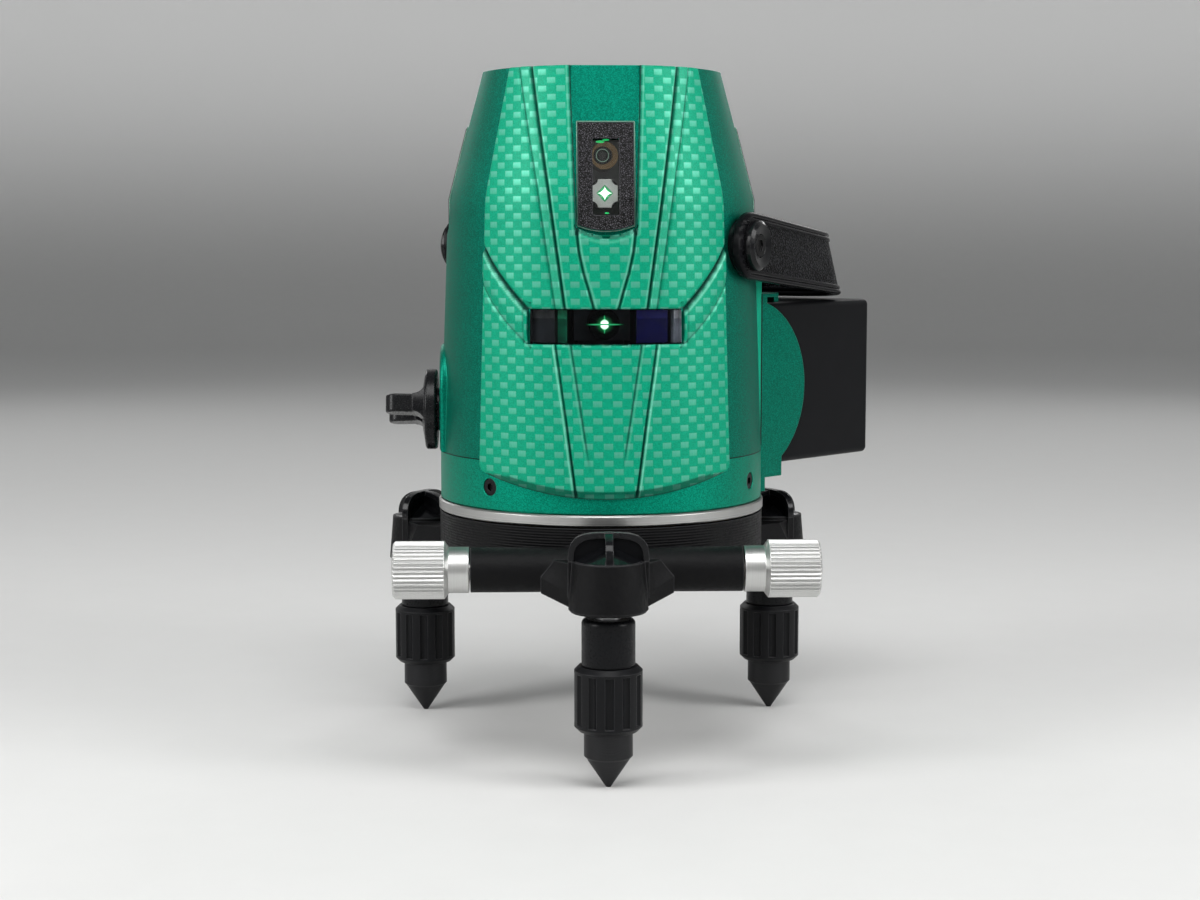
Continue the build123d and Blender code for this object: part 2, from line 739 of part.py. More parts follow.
def clutch_spring():
    """A dished spring washer that presses the turntable onto the wheel."""
    low = TURNTABLE_TOP_Z + BUSH_FLANGE_T + SPRING_SEAT_GAP
    high = SPINDLE_TOP_Z - NUT_T - GAP
    inner = SPINDLE_R + GAP
    return turned(
        (inner, high - SPRING_T),
        (SPRING_R, low),
        (SPRING_R, low + SPRING_T),
        (inner, high),
    )


def ring_screw_seat():
    return BODY_R - SCREW_HEAD_T - SCREW_SUNK


def lower_housing():
    shell = disc(BODY_R, TURNTABLE_TOP_Z, SEAM_Z)
    shell -= disc(BODY_R - WALL, TURNTABLE_TOP_Z + LOWER_FLOOR_T, SEAM_Z)
    shell -= disc(LOWER_HOLE_R, TURNTABLE_TOP_Z, SEAM_Z)
    shell -= ring(FAR, BODY_R - LOWER_GROOVE_D, TURNTABLE_TOP_Z, TURNTABLE_TOP_Z + LOWER_GROOVE_H)
    for angle in SCREW_ANGLES:
        seat = ring_screw_seat()
        shell -= rod(SCREW_HEAD_R + SCREW_HEAD_GAP, seat, FAR, RING_SCREW_Z, angle)
        shell -= rod(SCREW_R + SCREW_HEAD_GAP, seat - WALL, FAR, RING_SCREW_Z, angle)
    return shell


def radial_screw(screw, seat, height, angle):
    return Rot(0, 0, angle) * Pos(seat, 0, height) * Rot(0, 90, 0) * screw


def lower_housing_screws():
    length = ring_screw_seat() - (BODY_R - WALL - SKIRT_T)
    screw = socket_screw(SCREW_R, SCREW_HEAD_R, SCREW_HEAD_T, length, SCREW_SOCKET_R)
    return group(radial_screw(screw, ring_screw_seat(), RING_SCREW_Z, a) for a in SCREW_ANGLES)


# Upper housing and what is let into it


def ledge_z():
    return TOP_Z - TOP_PANEL_DROP - TOP_PANEL_T


def top_panel_radius():
    return TOP_R - TOP_RIM_W


def channel_cut(angle):
    upright = bowed_outline(CHANNEL_LOW_HALF, CHANNEL_TOP_HALF, SILL_Z, TOP_Z + EXTRA, SILL_SAG)
    return Rot(0, 0, angle) * (upright & channel_band(0, FAR, SILL_Z, TOP_Z + EXTRA, BODY_R / 2))


def pane_form(half_width, low, high):
    """What a vertical pane fills behind its bezel."""
    band = channel_band(-PANE_T, 0, low, high, half_width)
    return band & window_outline(half_width, low, high, PANE_CORNER)


def lock_pad():
    outline = Pos(0, LOCK_PAD_ROUND_Z) * Circle(LOCK_PAD_HALF)
    height = LOCK_PAD_ROUND_Z - SEAM_Z
    outline += Pos(0, SEAM_Z + height / 2) * Rectangle(2 * LOCK_PAD_HALF, height)
    pad = extrude(Plane.YZ * outline, -LOCK_PAD_FACE)
    return fillet(pad.faces().sort_by(Axis.X)[0].edges(), LOCK_PAD_RIM)


def pad_half():
    return PACK_HALF + GAP + CHEEK_T


def battery_frame(piece):
    return Rot(0, 0, BATTERY_ANGLE) * piece


def handle_frame(piece):
    return Rot(0, 0, HANDLE_ANGLE) * Pos(0, 0, PIVOT_Z) * piece


def pivot_holes(radius):
    bore = Rot(90, 0, 0) * Cylinder(radius, FAR)
    return handle_frame(bore)


def bracket_screw_spots():
    return [(w, z) for w in (-BRACKET_SCREW_W, BRACKET_SCREW_W) for z in BRACKET_SCREW_Z]


def window_opening():
    """The hole behind a bezel, that the pane's rim fills."""
    low, high = PANE_Z
    return window_outline(PANE_HALF + PANE_LAP, low - PANE_LAP, high + PANE_LAP, PANE_CORNER)


def slit_cut(depth):
    """The opening for the horizontal window, cut in from outside to this depth."""
    low, high = SLIT_Z
    return front_sector(-FAR, FAR + depth, slit_half_angle(SLIT_GAP), low - SLIT_GAP, high + SLIT_GAP)


def upper_housing():
    inside = body_form(WALL, SEAM_Z - EXTRA, ledge_z() - LEDGE_T)
    shell = body_form(0, SEAM_Z, TOP_Z)
    shell += lock_pad()
    shell += battery_frame(block((0, PAD_T), (-pad_half(), pad_half()), (SEAM_Z, PAD_TOP_Z)))
    shell -= inside
    shell -= disc(top_panel_radius() - LEDGE_W, ledge_z() - LEDGE_T - EXTRA, TOP_Z)
    shell -= disc(top_panel_radius() + FIT, ledge_z(), TOP_Z + EXTRA)
    skirt_r = BODY_R - WALL - FIT
    shell += ring(skirt_r, skirt_r - SKIRT_T, SKIRT_Z, SEAM_Z + SKIRT_LAP)
    shell += ring(BODY_R - WALL + SKIRT_WELD, skirt_r - SKIRT_T, SEAM_Z, SEAM_Z + SKIRT_LAP)
    for angle in WINDOW_ANGLES:
        shell -= channel_cut(angle)
        shell -= Rot(0, 0, angle) * window_opening()
    shell -= slit_cut(BODY_R / 2)
    shell += along_lock(disc(LOCK_BOSS_R, BOSS_IN_R, BODY_R - WALL))
    shell -= along_lock(disc(LOCK_SHAFT_R + FIT, 0, FAR))
    shell -= pivot_holes(PIVOT_BOSS_R + FIT) - disc(BOSS_IN_R, 0, FAR)
    for angle in SCREW_ANGLES:
        shell -= rod(SCREW_R + FIT, BOSS_IN_R - WALL, BODY_R, RING_SCREW_Z, angle)
    for w, z in bracket_screw_spots():
        shell -= battery_frame(Pos(0, w, 0) * rod(SCREW_R + FIT, BODY_R / 2, FAR, z, 0))
    return shell


def front_panel():
    """The raised shell on the front, with a dipped lower edge."""
    points = [(wall_radius(z) + FIT, z) for z in (PANEL_SIDE_Z - PANEL_DIP, KINK_Z, TOP_Z)]
    outer = [(r + PANEL_T, z) for r, z in reversed(points)]
    section = Polygon(*points, *outer)
    for radius_in in (FIT, FIT + PANEL_T):
        kink = section.vertices().sort_by_distance((KINK_R + radius_in, KINK_Z, 0))[0]
        section = fillet(kink, KINK_ROUND)
    panel = revolve(Plane.XZ * section, Axis.Z, 2 * PANEL_HALF_ANGLE)
    panel = Rot(0, 0, -90 - PANEL_HALF_ANGLE) * panel
    half = BODY_R * sin(radians(PANEL_HALF_ANGLE))
    dip_r = (half**2 + PANEL_DIP**2) / (2 * PANEL_DIP)
    edge = Pos(0, PANEL_SIDE_Z - PANEL_DIP + dip_r) * Circle(dip_r)
    below = Pos(0, PANEL_SIDE_Z - PANEL_DIP) * Rectangle(4 * half, 2 * PANEL_DIP) - edge
    panel -= extrude(Plane.XZ * below, FAR)
    panel -= channel_cut(WINDOW_ANGLES[0])
    return panel - slit_cut(2 * WALL)


def window_bezels():
    """Bent plates in the window channels, each with a tall opening for its pane."""
    band = channel_band(FIT, BEZEL_T, BEZEL_Z[0], BEZEL_Z[1], BODY_R / 2)
    bezel = band & bowed_outline(BEZEL_HALF, BEZEL_HALF, BEZEL_Z[0], BEZEL_Z[1], BEZEL_SAG)
    bezel -= window_outline(PANE_HALF, PANE_Z[0], PANE_Z[1], BEZEL_HOLE_CORNER)
    return group(Rot(0, 0, angle) * bezel for angle in WINDOW_ANGLES)


def vertical_windows():
    lap = PANE_LAP - FIT
    pane = pane_form(PANE_HALF + lap, PANE_Z[0] - lap, PANE_Z[1] + lap)
    return group(Rot(0, 0, angle) * pane for angle in WINDOW_ANGLES)


def horizontal_window():
    return front_sector(SLIT_INSET - PANEL_T, SLIT_T, slit_half_angle(0), *SLIT_Z)


# Top panel, keys and vial


def key_spot(angle):
    return Rot(0, 0, angle) * Pos(KEY_CIRCLE_R, 0, 0)


def board_top_z():
    return ledge_z() - KEY_FLANGE_T - KEY_TRAVEL - 2 * GAP


def top_panel():
    panel = disc(top_panel_radius(), ledge_z(), TOP_Z - TOP_PANEL_DROP)
    panel = chamfer(panel.edges().sort_by(Axis.Z)[-1], TOP_PANEL_CHAMFER)
    for angle in KEYS.values():
        panel -= key_spot(angle) * disc(KEY_R + GAP, 0, TOP_Z)
    panel -= Pos(0, VIAL_Y, 0) * disc(VIAL_R + FIT, 0, TOP_Z)
    post = disc(POST_R, board_top_z(), ledge_z() + EXTRA)
    for angle in POST_ANGLES:
        panel += Rot(0, 0, angle) * Pos(POST_CIRCLE_R, 0, 0) * post
    for angle in TOP_SCREW_ANGLES:
        panel -= top_screw_spot(angle) * disc(TOP_SCREW_R + FIT, 0, TOP_Z)
        panel -= top_screw_spot(angle) * disc(TOP_SCREW_HEAD_R + SCREW_HEAD_GAP, top_screw_seat(), TOP_Z)
    return panel


def top_screw_spot(angle):
    return Rot(0, 0, angle) * Pos(top_panel_radius() - LEDGE_W / 2, 0, 0)


def top_screw_seat():
    return TOP_Z - TOP_PANEL_DROP - TOP_SCREW_SUNK


def top_screws():
    length = TOP_PANEL_T - TOP_SCREW_SUNK
    screw = socket_screw(TOP_SCREW_R, TOP_SCREW_HEAD_R, TOP_SCREW_HEAD_T, length, TOP_SCREW_SOCKET_R)
    seated = Pos(0, 0, top_screw_seat()) * screw
    return group(top_screw_spot(angle) * seated for angle in TOP_SCREW_ANGLES)


def key(angle):
    """A round key held under the panel by its flange."""
    crown = TOP_Z - TOP_PANEL_DROP + KEY_PROUD
    cap = fillet(disc(KEY_R, ledge_z() - GAP, crown).edges().sort_by(Axis.Z)[-1], KEY_ROUND)
    cap += disc(KEY_FLANGE_R, ledge_z() - GAP - KEY_FLANGE_T, ledge_z() - GAP)
    return key_spot(angle) * cap


def vial_top_z():
    return TOP_Z - TOP_PANEL_DROP + VIAL_PROUD


def vial_cup():
    top = vial_top_z()
    floor = top - VIAL_DEPTH + VIAL_FLOOR
    cup = disc(VIAL_R, top - VIAL_DEPTH, top) - disc(VIAL_R - VIAL_WALL, floor, top)
    return Pos(0, VIAL_Y, 0) * cup


def vial_glass():
    floor = vial_top_z() - VIAL_DEPTH + VIAL_FLOOR
    glass = disc(VIAL_R - VIAL_WALL - FIT, floor + GLASS_GAP, vial_top_z() - GLASS_SUNK)
    return Pos(0, VIAL_Y, 0) * glass


def keypad_board():
    top = board_top_z()
    board = disc(BOARD_R, top - BOARD_T, top)
    return board - Pos(0, VIAL_Y, 0) * disc(VIAL_R + EXTRA, 0, TOP_Z)


# Chassis, gimbal and pendulum


def chassis_z():
    return TURNTABLE_TOP_Z + LOWER_FLOOR_T


def chassis():
    """A base plate, four columns and a top ring with two ears that carry the gimbal."""
    low = chassis_z()
    frame = ring(CHASSIS_R, CHASSIS_BORE_R, low, low + CHASSIS_T)
    frame += ring(CHASSIS_TOP_R, CHASSIS_TOP_BORE_R, *CHASSIS_TOP_Z)
    for spot in PolarLocations(COLUMN_CIRCLE_R, 4, 45):
        frame += spot * disc(COLUMN_R, low + CHASSIS_T / 2, CHASSIS_TOP_Z[1])
    ear_top = GIMBAL_Z + EAR_HALF
    for y in (EAR_Y, (-EAR_Y[1], -EAR_Y[0])):
        frame += block((-EAR_HALF, EAR_HALF), y, (CHASSIS_TOP_Z[0], ear_top))
    frame -= Pos(0, 0, GIMBAL_Z) * Rot(90, 0, 0) * Cylinder(TRUNNION_R + FIT, FAR)
    for angle in GUIDE_ANGLES:
        pin = disc(GUIDE_R, low + CHASSIS_T / 2, lifter_z() + LIFTER_T + LOCK_LIFT)
        frame += Rot(0, 0, angle) * Pos(GUIDE_CIRCLE_R, 0, 0) * pin
    return frame


def gimbal_ring():
    half = GIMBAL_H / 2
    hoop = ring(GIMBAL_R, GIMBAL_BORE_R, -half, half)
    trunnions = Rot(90, 0, 0) * Cylinder(TRUNNION_R, 2 * TRUNNION_END)
    hoop += trunnions - Cylinder(GIMBAL_BORE_R + EXTRA, GIMBAL_H)
    hoop -= Rot(0, 90, 0) * Cylinder(TRUNNION_R + FIT, FAR)
    return Pos(0, 0, GIMBAL_Z) * hoop


def barrel_cut(angle, height, radius):
    return rod(radius + FIT, BARREL_START - FIT, FAR, height, angle)


def pendulum():
    stem = disc(STEM_R, WEIGHT_TOP_Z, HEAD_BLOCK_Z[0])
    stem += Pos(0, 0, GIMBAL_Z) * Rot(0, 90, 0) * Cylinder(TRUNNION_R, 2 * GIMBAL_R - EXTRA)
    half = HEAD_BLOCK_HALF
    stem += block((-half, half), (-half, half), HEAD_BLOCK_Z)
    mid = MID_BLOCK_HALF
    limits = (HORIZONTAL_LASER_Z - MID_BLOCK_H / 2, HORIZONTAL_LASER_Z + MID_BLOCK_H / 2)
    stem += block((-mid, mid), (-mid, mid), limits)
    for angle in WINDOW_ANGLES:
        stem -= barrel_cut(angle, VERTICAL_LASER_Z, BARREL_R)
    stem -= barrel_cut(WINDOW_ANGLES[0], POINT_LASER_Z, POINT_BARREL_R)
    stem -= barrel_cut(WINDOW_ANGLES[0], HORIZONTAL_LASER_Z, BARREL_R)
    return stem - barrel_cut(WINDOW_ANGLES[0] + 180, HORIZONTAL_LASER_Z, TRIM_R)


def trim_end():
    """Where the trim weight behind the stem ends, so that it balances the two front barrels."""
    solid = (POINT_BARREL_R**2 + BARREL_R**2) * (BARREL_END**2 - BARREL_START**2)
    bored = (POINT_LENS_R**2 + LENS_R**2) * (BARREL_END**2 - (BARREL_END - LENS_DEPTH) ** 2)
    return sqrt(BARREL_START**2 + (solid - bored) / TRIM_R**2)


def pendulum_weight():
    """A trim weight, and a bob whose round underside is centred on the gimbal, so that it turns in place."""
    low = GIMBAL_Z - WEIGHT_BALL_R
    bob = disc(WEIGHT_R, low - EXTRA, WEIGHT_TOP_Z)
    bob &= Pos(0, 0, GIMBAL_Z) * Sphere(WEIGHT_BALL_R)
    bob -= disc(BARREL_R + FIT, low - EXTRA, WEIGHT_TOP_Z)
    trim = rod(TRIM_R, BARREL_START, trim_end(), HORIZONTAL_LASER_Z, WINDOW_ANGLES[0] + 180)
    return group((bob, trim))


def vertical_lasers():
    """Barrels with a notched lens holder on the end, one to each side of the head."""
    notch = Cylinder(HOLDER_NOTCH_R, 3 * HOLDER_T)
    holder = Cylinder(HOLDER_R, HOLDER_T, align=STAND) - Cylinder(LENS_R, 3 * HOLDER_T)
    holder -= [spot * notch for spot in PolarLocations(HOLDER_R, HOLDER_NOTCHES)]
    end = Pos(BARREL_END - EXTRA, 0, VERTICAL_LASER_Z) * Rot(0, 90, 0) * holder
    barrel = rod(BARREL_R, BARREL_START, BARREL_END, VERTICAL_LASER_Z, 0) + end
    return group(Rot(0, 0, angle) * barrel for angle in WINDOW_ANGLES)


def front_barrel(radius, height, lens_r):
    barrel = rod(radius, BARREL_START, BARREL_END, height, WINDOW_ANGLES[0])
    return barrel - rod(lens_r, BARREL_END - LENS_DEPTH, FAR, height, WINDOW_ANGLES[0])


def point_laser():
    return front_barrel(POINT_BARREL_R, POINT_LASER_Z, POINT_LENS_R)


def horizontal_laser():
    return front_barrel(BARREL_R, HORIZONTAL_LASER_Z, LENS_R)


def plumb_laser():
    low = GIMBAL_Z - WEIGHT_BALL_R + PLUMB_INSET
    return disc(BARREL_R, low, WEIGHT_TOP_Z - FIT) - disc(LENS_R, low, low + LENS_DEPTH)


def main_board():
    low = chassis_z() + CHASSIS_T + FIT
    half = MAIN_BOARD_HALF
    return block((-half, half), (MAIN_BOARD_Y - BOARD_T, MAIN_BOARD_Y), (low, low + MAIN_BOARD_H))


# Pendulum lock


def lifter_z():
    """Height of the lifter's underside with the pendulum free."""
    contact = GIMBAL_Z - sqrt(WEIGHT_BALL_R**2 - LIFTER_BORE_R**2)
    return contact - GAP - LOCK_LIFT - LIFTER_T


def lock_lifter():
    """A ring under the bob that slides on three pins, with an arm up to the lock's crank."""
    low = lifter_z()
    layer = (low, low + LIFTER_T)
    plate = disc(LIFTER_R, *layer)
    for angle in GUIDE_ANGLES:
        plate += Rot(0, 0, angle) * Pos(GUIDE_CIRCLE_R, 0, 0) * disc(GUIDE_EAR_R, *layer)
        plate += Rot(0, 0, angle) * block((0, GUIDE_CIRCLE_R), (-GUIDE_EAR_R, GUIDE_EAR_R), layer)
    plate += block((LIFTER_ARM_X[0], 0), (-LIFTER_BRIDGE_HALF, LIFTER_BRIDGE_HALF), layer)
    half = LIFTER_ARM_HALF
    plate += block(LIFTER_ARM_X, (-half, half), (low, LOCK_Z + LOCK_SHAFT_R))
    plate -= disc(LIFTER_BORE_R, *layer)
    for angle in GUIDE_ANGLES:
        plate -= Rot(0, 0, angle) * Pos(GUIDE_CIRCLE_R, 0, 0) * disc(GUIDE_R + FIT, 0, FAR)
    pin_z = LOCK_Z - LOCK_LIFT
    room = LOCK_CRANK_R + GAP
    slot = (pin_z - room - LOCK_SLACK, pin_z + room)
    reach = LOCK_LIFT + room
    return plate - block((LIFTER_ARM_X[0] - EXTRA, LIFTER_ARM_X[1] + EXTRA), (-reach, reach), slot)


def along_lock(piece):
    """Lay a piece that was made along Z on the lock's axis, pointing out of the left side."""
    return Pos(0, 0, LOCK_Z) * Rot(0, -90, 0) * piece


def lock_shaft():
    inner = -LOCK_SHAFT_END
    shaft = disc(LOCK_SHAFT_R, inner, LOCK_PAD_FACE + LOCK_HUB_L + LOCK_DISC_T - LOCK_FACE_T)
    crank = Pos(-LOCK_LIFT, 0, 0) * disc(LOCK_CRANK_R, inner - LOCK_CRANK_L, inner + EXTRA)
    return along_lock(shaft + crank)


def lock_fillets(top):
    """The hollow flanks between the lock knob's ears and its plate."""
    side = LOCK_EAR_T / 2 + LOCK_FILLET
    low = top - LOCK_DISC_FALL - LOCK_FILLET_DIP
    axis_z = low + LOCK_FILLET
    flanks = block((-side, side), (-LOCK_DISC_R, LOCK_DISC_R), (low - EXTRA, axis_z))
    flanks -= block((-side, side), (-LOCK_EAR_GAP, LOCK_EAR_GAP), (low - EXTRA, axis_z))
    for x in (-side, side):
        lane = Rot(90, 0, 0) * Cylinder(LOCK_FILLET, FAR)
        flanks -= Pos(x * (1 - LOCK_FILLET_DIP / side), 0, axis_z) * lane
    return flanks


def lock_knob():
    """A round plate, thinner at its rim, with two ears for finger and thumb that flow into it."""
    seat = LOCK_PAD_FACE + GAP
    plate_z = seat + LOCK_HUB_L
    top = plate_z + LOCK_DISC_T
    rim_z = top - LOCK_DISC_FALL
    knob = turned((0, plate_z), (LOCK_DISC_R, plate_z), (LOCK_DISC_R, rim_z), (LOCK_FLAT_R, top), (0, top))
    knob = fillet(knob.edges().filter_by(GeomType.CIRCLE).sort_by(SortBy.RADIUS)[-2:], LOCK_DISC_ROUND)
    knob += disc(LOCK_HUB_R, seat, plate_z + EXTRA)
    knob += lock_fillets(top) & disc(LOCK_DISC_R - LOCK_DISC_ROUND, plate_z, top + LOCK_REACH)
    lobe_z = top + LOCK_REACH - LOCK_DISC_T - LOCK_EAR_R
    for side in (-1, 1):
        lobe = Pos(side * LOCK_EAR_MID, lobe_z) * Circle(LOCK_EAR_R)
        foot = Pos(side * LOCK_EAR_FOOT, top - EXTRA / 2) * Rectangle(LOCK_EAR_FOOT_W, EXTRA)
        ear = extrude(Plane.YZ * make_hull(lobe.edges() + foot.edges()), LOCK_EAR_T / 2, both=True)
        knob += fillet(ear.edges().filter_by(GeomType.CIRCLE), LOCK_EAR_ROUND)
    knob -= disc(LOCK_SHAFT_R + FIT, 0, top - LOCK_FACE_T + FIT)
    return along_lock(Rot(0, 0, LOCK_ROLL) * knob)


# Handle


def strap_u(outset, flare):
    """The bail in plan: two arms and a cross grip with round corners, spread by flare at the grip."""
    half = STRAP_INNER + outset
    end = STRAP_REACH - STRAP_T + outset + flare
    spread = half + flare
    plan = Polygon(
        (-STRAP_W, half),
        (-STRAP_W, -half),
        (STRAP_W / 2, -half),
        (end, -spread),
        (end, spread),
        (STRAP_W / 2, half),
    )
    return fillet(plan.vertices().sort_by(Axis.X)[-2:], STRAP_BEND - STRAP_T + outset)


def handle_strap():
    """A bail with half-round ends, whose grip leans out towards its lower edge."""
    walls = []
    for outset in (STRAP_T, 0):
        low = Pos(0, 0, -STRAP_W / 2) * strap_u(outset, STRAP_FLARE)
        high = Pos(0, 0, STRAP_W / 2) * strap_u(outset, -STRAP_FLARE)
        walls.append(loft([low, high], ruled=True))
    strap = walls[0] - walls[1]
    side = Pos(STRAP_REACH, 0) * Rectangle(2 * STRAP_REACH, STRAP_W) + Circle(STRAP_W / 2)
    strap &= extrude(Plane.XZ * side, FAR / 2, both=True)
    strap -= Rot(90, 0, 0) * Cylinder(PIVOT_R + FIT, FAR)
    return handle_frame(Rot(0, STRAP_DROOP, 0) * strap)


def on_pivots(piece):
    """A piece made along Z, set on both ends of the handle's pivot axis, pointing outwards."""
    return group(handle_frame(Rot(turn, 0, 0) * piece) for turn in (90, -90))


def pivot_head_seat():
    """How far out the recess for a pivot screw's head begins."""
    return STRAP_INNER + STRAP_T + PIVOT_CAP_T - PIVOT_CAP_DISH - PIVOT_HEAD_T


def handle_caps():
    seat = STRAP_INNER + STRAP_T
    top = seat + PIVOT_CAP_T
    rim = PIVOT_CAP_R - PIVOT_CAP_RIM_W
    cap = turned(
        (PIVOT_R + FIT, seat),
        (PIVOT_CAP_R, seat),
        (PIVOT_CAP_R, top - PIVOT_CAP_CHAMFER),
        (rim, top),
        (rim - PIVOT_CAP_RIM_W, top - PIVOT_CAP_LIP),
        (PIVOT_HEAD_R + GAP, top - PIVOT_CAP_DISH),
        (PIVOT_HEAD_R + GAP, pivot_head_seat()),
        (PIVOT_R + FIT, pivot_head_seat()),
    )
    return on_pivots(cap)


def handle_bosses():
    return on_pivots(ring(PIVOT_BOSS_R, PIVOT_R + FIT, BOSS_IN_R, STRAP_INNER - GAP))


def handle_screws():
    seat = pivot_head_seat() + GAP
    screw = socket_screw(PIVOT_R, PIVOT_HEAD_R, PIVOT_HEAD_T - GAP, seat - BOSS_IN_R, PIVOT_SOCKET_R)
    return on_pivots(Pos(0, 0, seat) * screw)


# Battery


def flat_patch(t, z):
    return Pos(sum(t) / 2, sum(z) / 2) * Rectangle(t[1] - t[0], z[1] - z[0])


def cheek(side):
    """A round cheek with a square foot, a short neck above and a narrow tail below."""
    start = PAD_T + FIT
    outline = Pos(CHEEK_ARC_T, CHEEK_ARC_Z) * Circle(CHEEK_ARC_R)
    outline += flat_patch((start, BRACKET_FOOT_T), (BRACKET_Z[0], BRACKET_FOOT_Z))
    outline += flat_patch((start, CHEEK_TOP_T), (CHEEK_ARC_Z, BRACKET_Z[1]))
    outline += flat_patch((start, CHEEK_TAIL_T), (CHEEK_TAIL_Z, BRACKET_FOOT_Z))
    outline &= flat_patch((start, FAR), (0, TOP_Z))
    plate = extrude(Plane.XZ * outline, CHEEK_T / 2, both=True)
    return Pos(0, side * (PACK_HALF + GAP + CHEEK_T / 2), 0) * plate


def plate_limits():
    return (PACK_START - GAP - BRACKET_WALL, PACK_START - GAP)


def bracket_screw_seat():
    return PACK_START - GAP - SCREW_HEAD_T - SCREW_SUNK


def battery_bracket():
    """A saddle on the housing: a back plate, closed above and below, and two round cheeks."""
    half = pad_half()
    inner_half = PACK_HALF - PACK_WALL - GAP
    start = PAD_T + FIT
    plate = plate_limits()
    roof = (BRACKET_Z[1] - BRACKET_ROOF_H, BRACKET_Z[1])
    shelf = (BRACKET_Z[0], PACK_Z[0] - GAP)
    saddle = block(plate, (-inner_half, inner_half), BRACKET_Z)
    for layer, end in ((roof, BRACKET_ROOF_T), (shelf, BRACKET_FOOT_T)):
        saddle += block((start, plate[1]), (-inner_half, inner_half), layer)
        saddle += block((start, end), (-half, half), layer)
    for side in (-1, 1):
        saddle += cheek(side)
    for w, z in bracket_screw_spots():
        saddle += Pos(0, w, 0) * rod(BRACKET_BOSS_R, start, plate[1], z, 0)
    saddle -= disc(BODY_R + GAP / 2, 0, SEAM_Z)
    saddle -= battery_frame_back(body_form(-GAP / 2, SEAM_Z, TOP_Z))
    for w, z in bracket_screw_spots():
        saddle -= Pos(0, w, 0) * rod(SCREW_R + SCREW_HEAD_GAP, start - EXTRA, FAR, z, 0)
        saddle -= Pos(0, w, 0) * rod(SCREW_HEAD_R + SCREW_HEAD_GAP, bracket_screw_seat(), FAR, z, 0)
    for w in CONTACT_W:
        saddle -= Pos(0, w, 0) * rod(CONTACT_R + FIT, start, FAR, CONTACT_Z, 0)
    return battery_frame(saddle)


def battery_frame_back(piece):
    return Rot(0, 0, -BATTERY_ANGLE) * piece


def bracket_screws():
    inner = sqrt(BODY_R**2 - BRACKET_SCREW_W**2) - 2 * WALL
    length = bracket_screw_seat() - inner
    screw = socket_screw(SCREW_R, SCREW_HEAD_R, SCREW_HEAD_T, length, SCREW_SOCKET_R)
    seated = radial_screw(screw, bracket_screw_seat(), 0, 0)
    return group(battery_frame(Pos(0, w, z) * seated) for w, z in bracket_screw_spots())


def battery_contacts():
    pin = rod(CONTACT_R, plate_limits()[0], PACK_START - GAP / 2, CONTACT_Z, 0)
    return group(battery_frame(Pos(0, w, 0) * pin) for w in CONTACT_W)


def pack_cavity():
    start = PACK_START
    end = PACK_START + PACK_DEPTH
    half = PACK_HALF - PACK_WALL
    return block((start, end - PACK_WALL), (-half, half), (PACK_Z[0] + PACK_WALL, PACK_Z[1] - PACK_WALL))


def battery_case():
    """A hollow box whose side walls run on past its open front, on both sides of the bracket's plate."""
    end = PACK_START + PACK_DEPTH
    case = block((PACK_WING_T, end), (-PACK_HALF, PACK_HALF), PACK_Z)
    outer = case.edges() - case.faces().sort_by(Axis.X)[0].edges()
    case = fillet(outer, PACK_ROUND)
    half = PACK_HALF - PACK_WALL
    case -= block((0, PACK_START), (-half, half), (0, TOP_Z))
    return battery_frame(case - pack_cavity())


def battery_lid():
    half = PACK_HALF - PACK_WALL - FIT
    inset = PACK_WALL + FIT
    lid = block((PACK_START, PACK_START + PACK_WALL), (-half, half), (PACK_Z[0] + inset, PACK_Z[1] - inset))
    return battery_frame(lid)


def battery_cells():
    """Four round cells in two rows, on the floor of the case and against one of its ends."""
    first_t = PACK_START + PACK_WALL + GAP + CELL_R
    first_z = PACK_Z[0] + PACK_WALL + GAP / 2 + CELL_R
    step = 2 * CELL_R + GAP / 2
    cell = Rot(90, 0, 0) * Cylinder(CELL_R, CELL_L)
    mid_w = CELL_L / 2 - (PACK_HALF - PACK_WALL)
    spots = [(first_t + i * step, first_z + j * step) for i in range(2) for j in range(2)]
    return group(battery_frame(Pos(t, mid_w, z) * cell) for t, z in spots)


NODES = {
    "base_casting": base_casting(),
    "leg_caps": leg_caps(),
    "tripod_insert": tripod_insert(),
    "spindle": spindle(),
    "spindle_nut": spindle_nut(),
    "foot_studs": foot_studs(),
    "foot_sleeves": foot_sleeves(),
    "worm_bushes": worm_bushes(),
    "worm_shaft": worm_shaft(),
    "fine_knob_left": fine_knob(-1),
    "fine_knob_right": fine_knob(1),
    "worm_wheel": worm_wheel(),
    "clutch_washer": clutch_washer(),
    "turntable": turntable(),
    "turntable_bush": turntable_bush(),
    "clutch_spring": clutch_spring(),
    "lower_housing": lower_housing(),
    "lower_housing_screws": lower_housing_screws(),
    "upper_housing": upper_housing(),
    "front_panel": front_panel(),
    "window_bezels": window_bezels(),
    "vertical_windows": vertical_windows(),
    "horizontal_window": horizontal_window(),
    "top_panel": top_panel(),
    "top_screws": top_screws(),
    "vial_cup": vial_cup(),
    "vial_glass": vial_glass(),
    "keypad_board": keypad_board(),
    "chassis": chassis(),
    "main_board": main_board(),
    "gimbal_ring": gimbal_ring(),
    "pendulum": pendulum(),
    "pendulum_weight": pendulum_weight(),
    "vertical_lasers": vertical_lasers(),
    "point_laser": point_laser(),
    "horizontal_laser": horizontal_laser(),
    "plumb_laser": plumb_laser(),
    "lock_lifter": lock_lifter(),
    "lock_shaft": lock_shaft(),
    "lock_knob": lock_knob(),
    "handle_strap": handle_strap(),
    "handle_caps": handle_caps(),
    "handle_bosses": handle_bosses(),
    "handle_screws": handle_screws(),
    "battery_bracket": battery_bracket(),
    "bracket_screws": bracket_screws(),
    "battery_contacts": battery_contacts(),
    "battery_case": battery_case(),
    "battery_lid": battery_lid(),
    "battery_cells": battery_cells(),
}
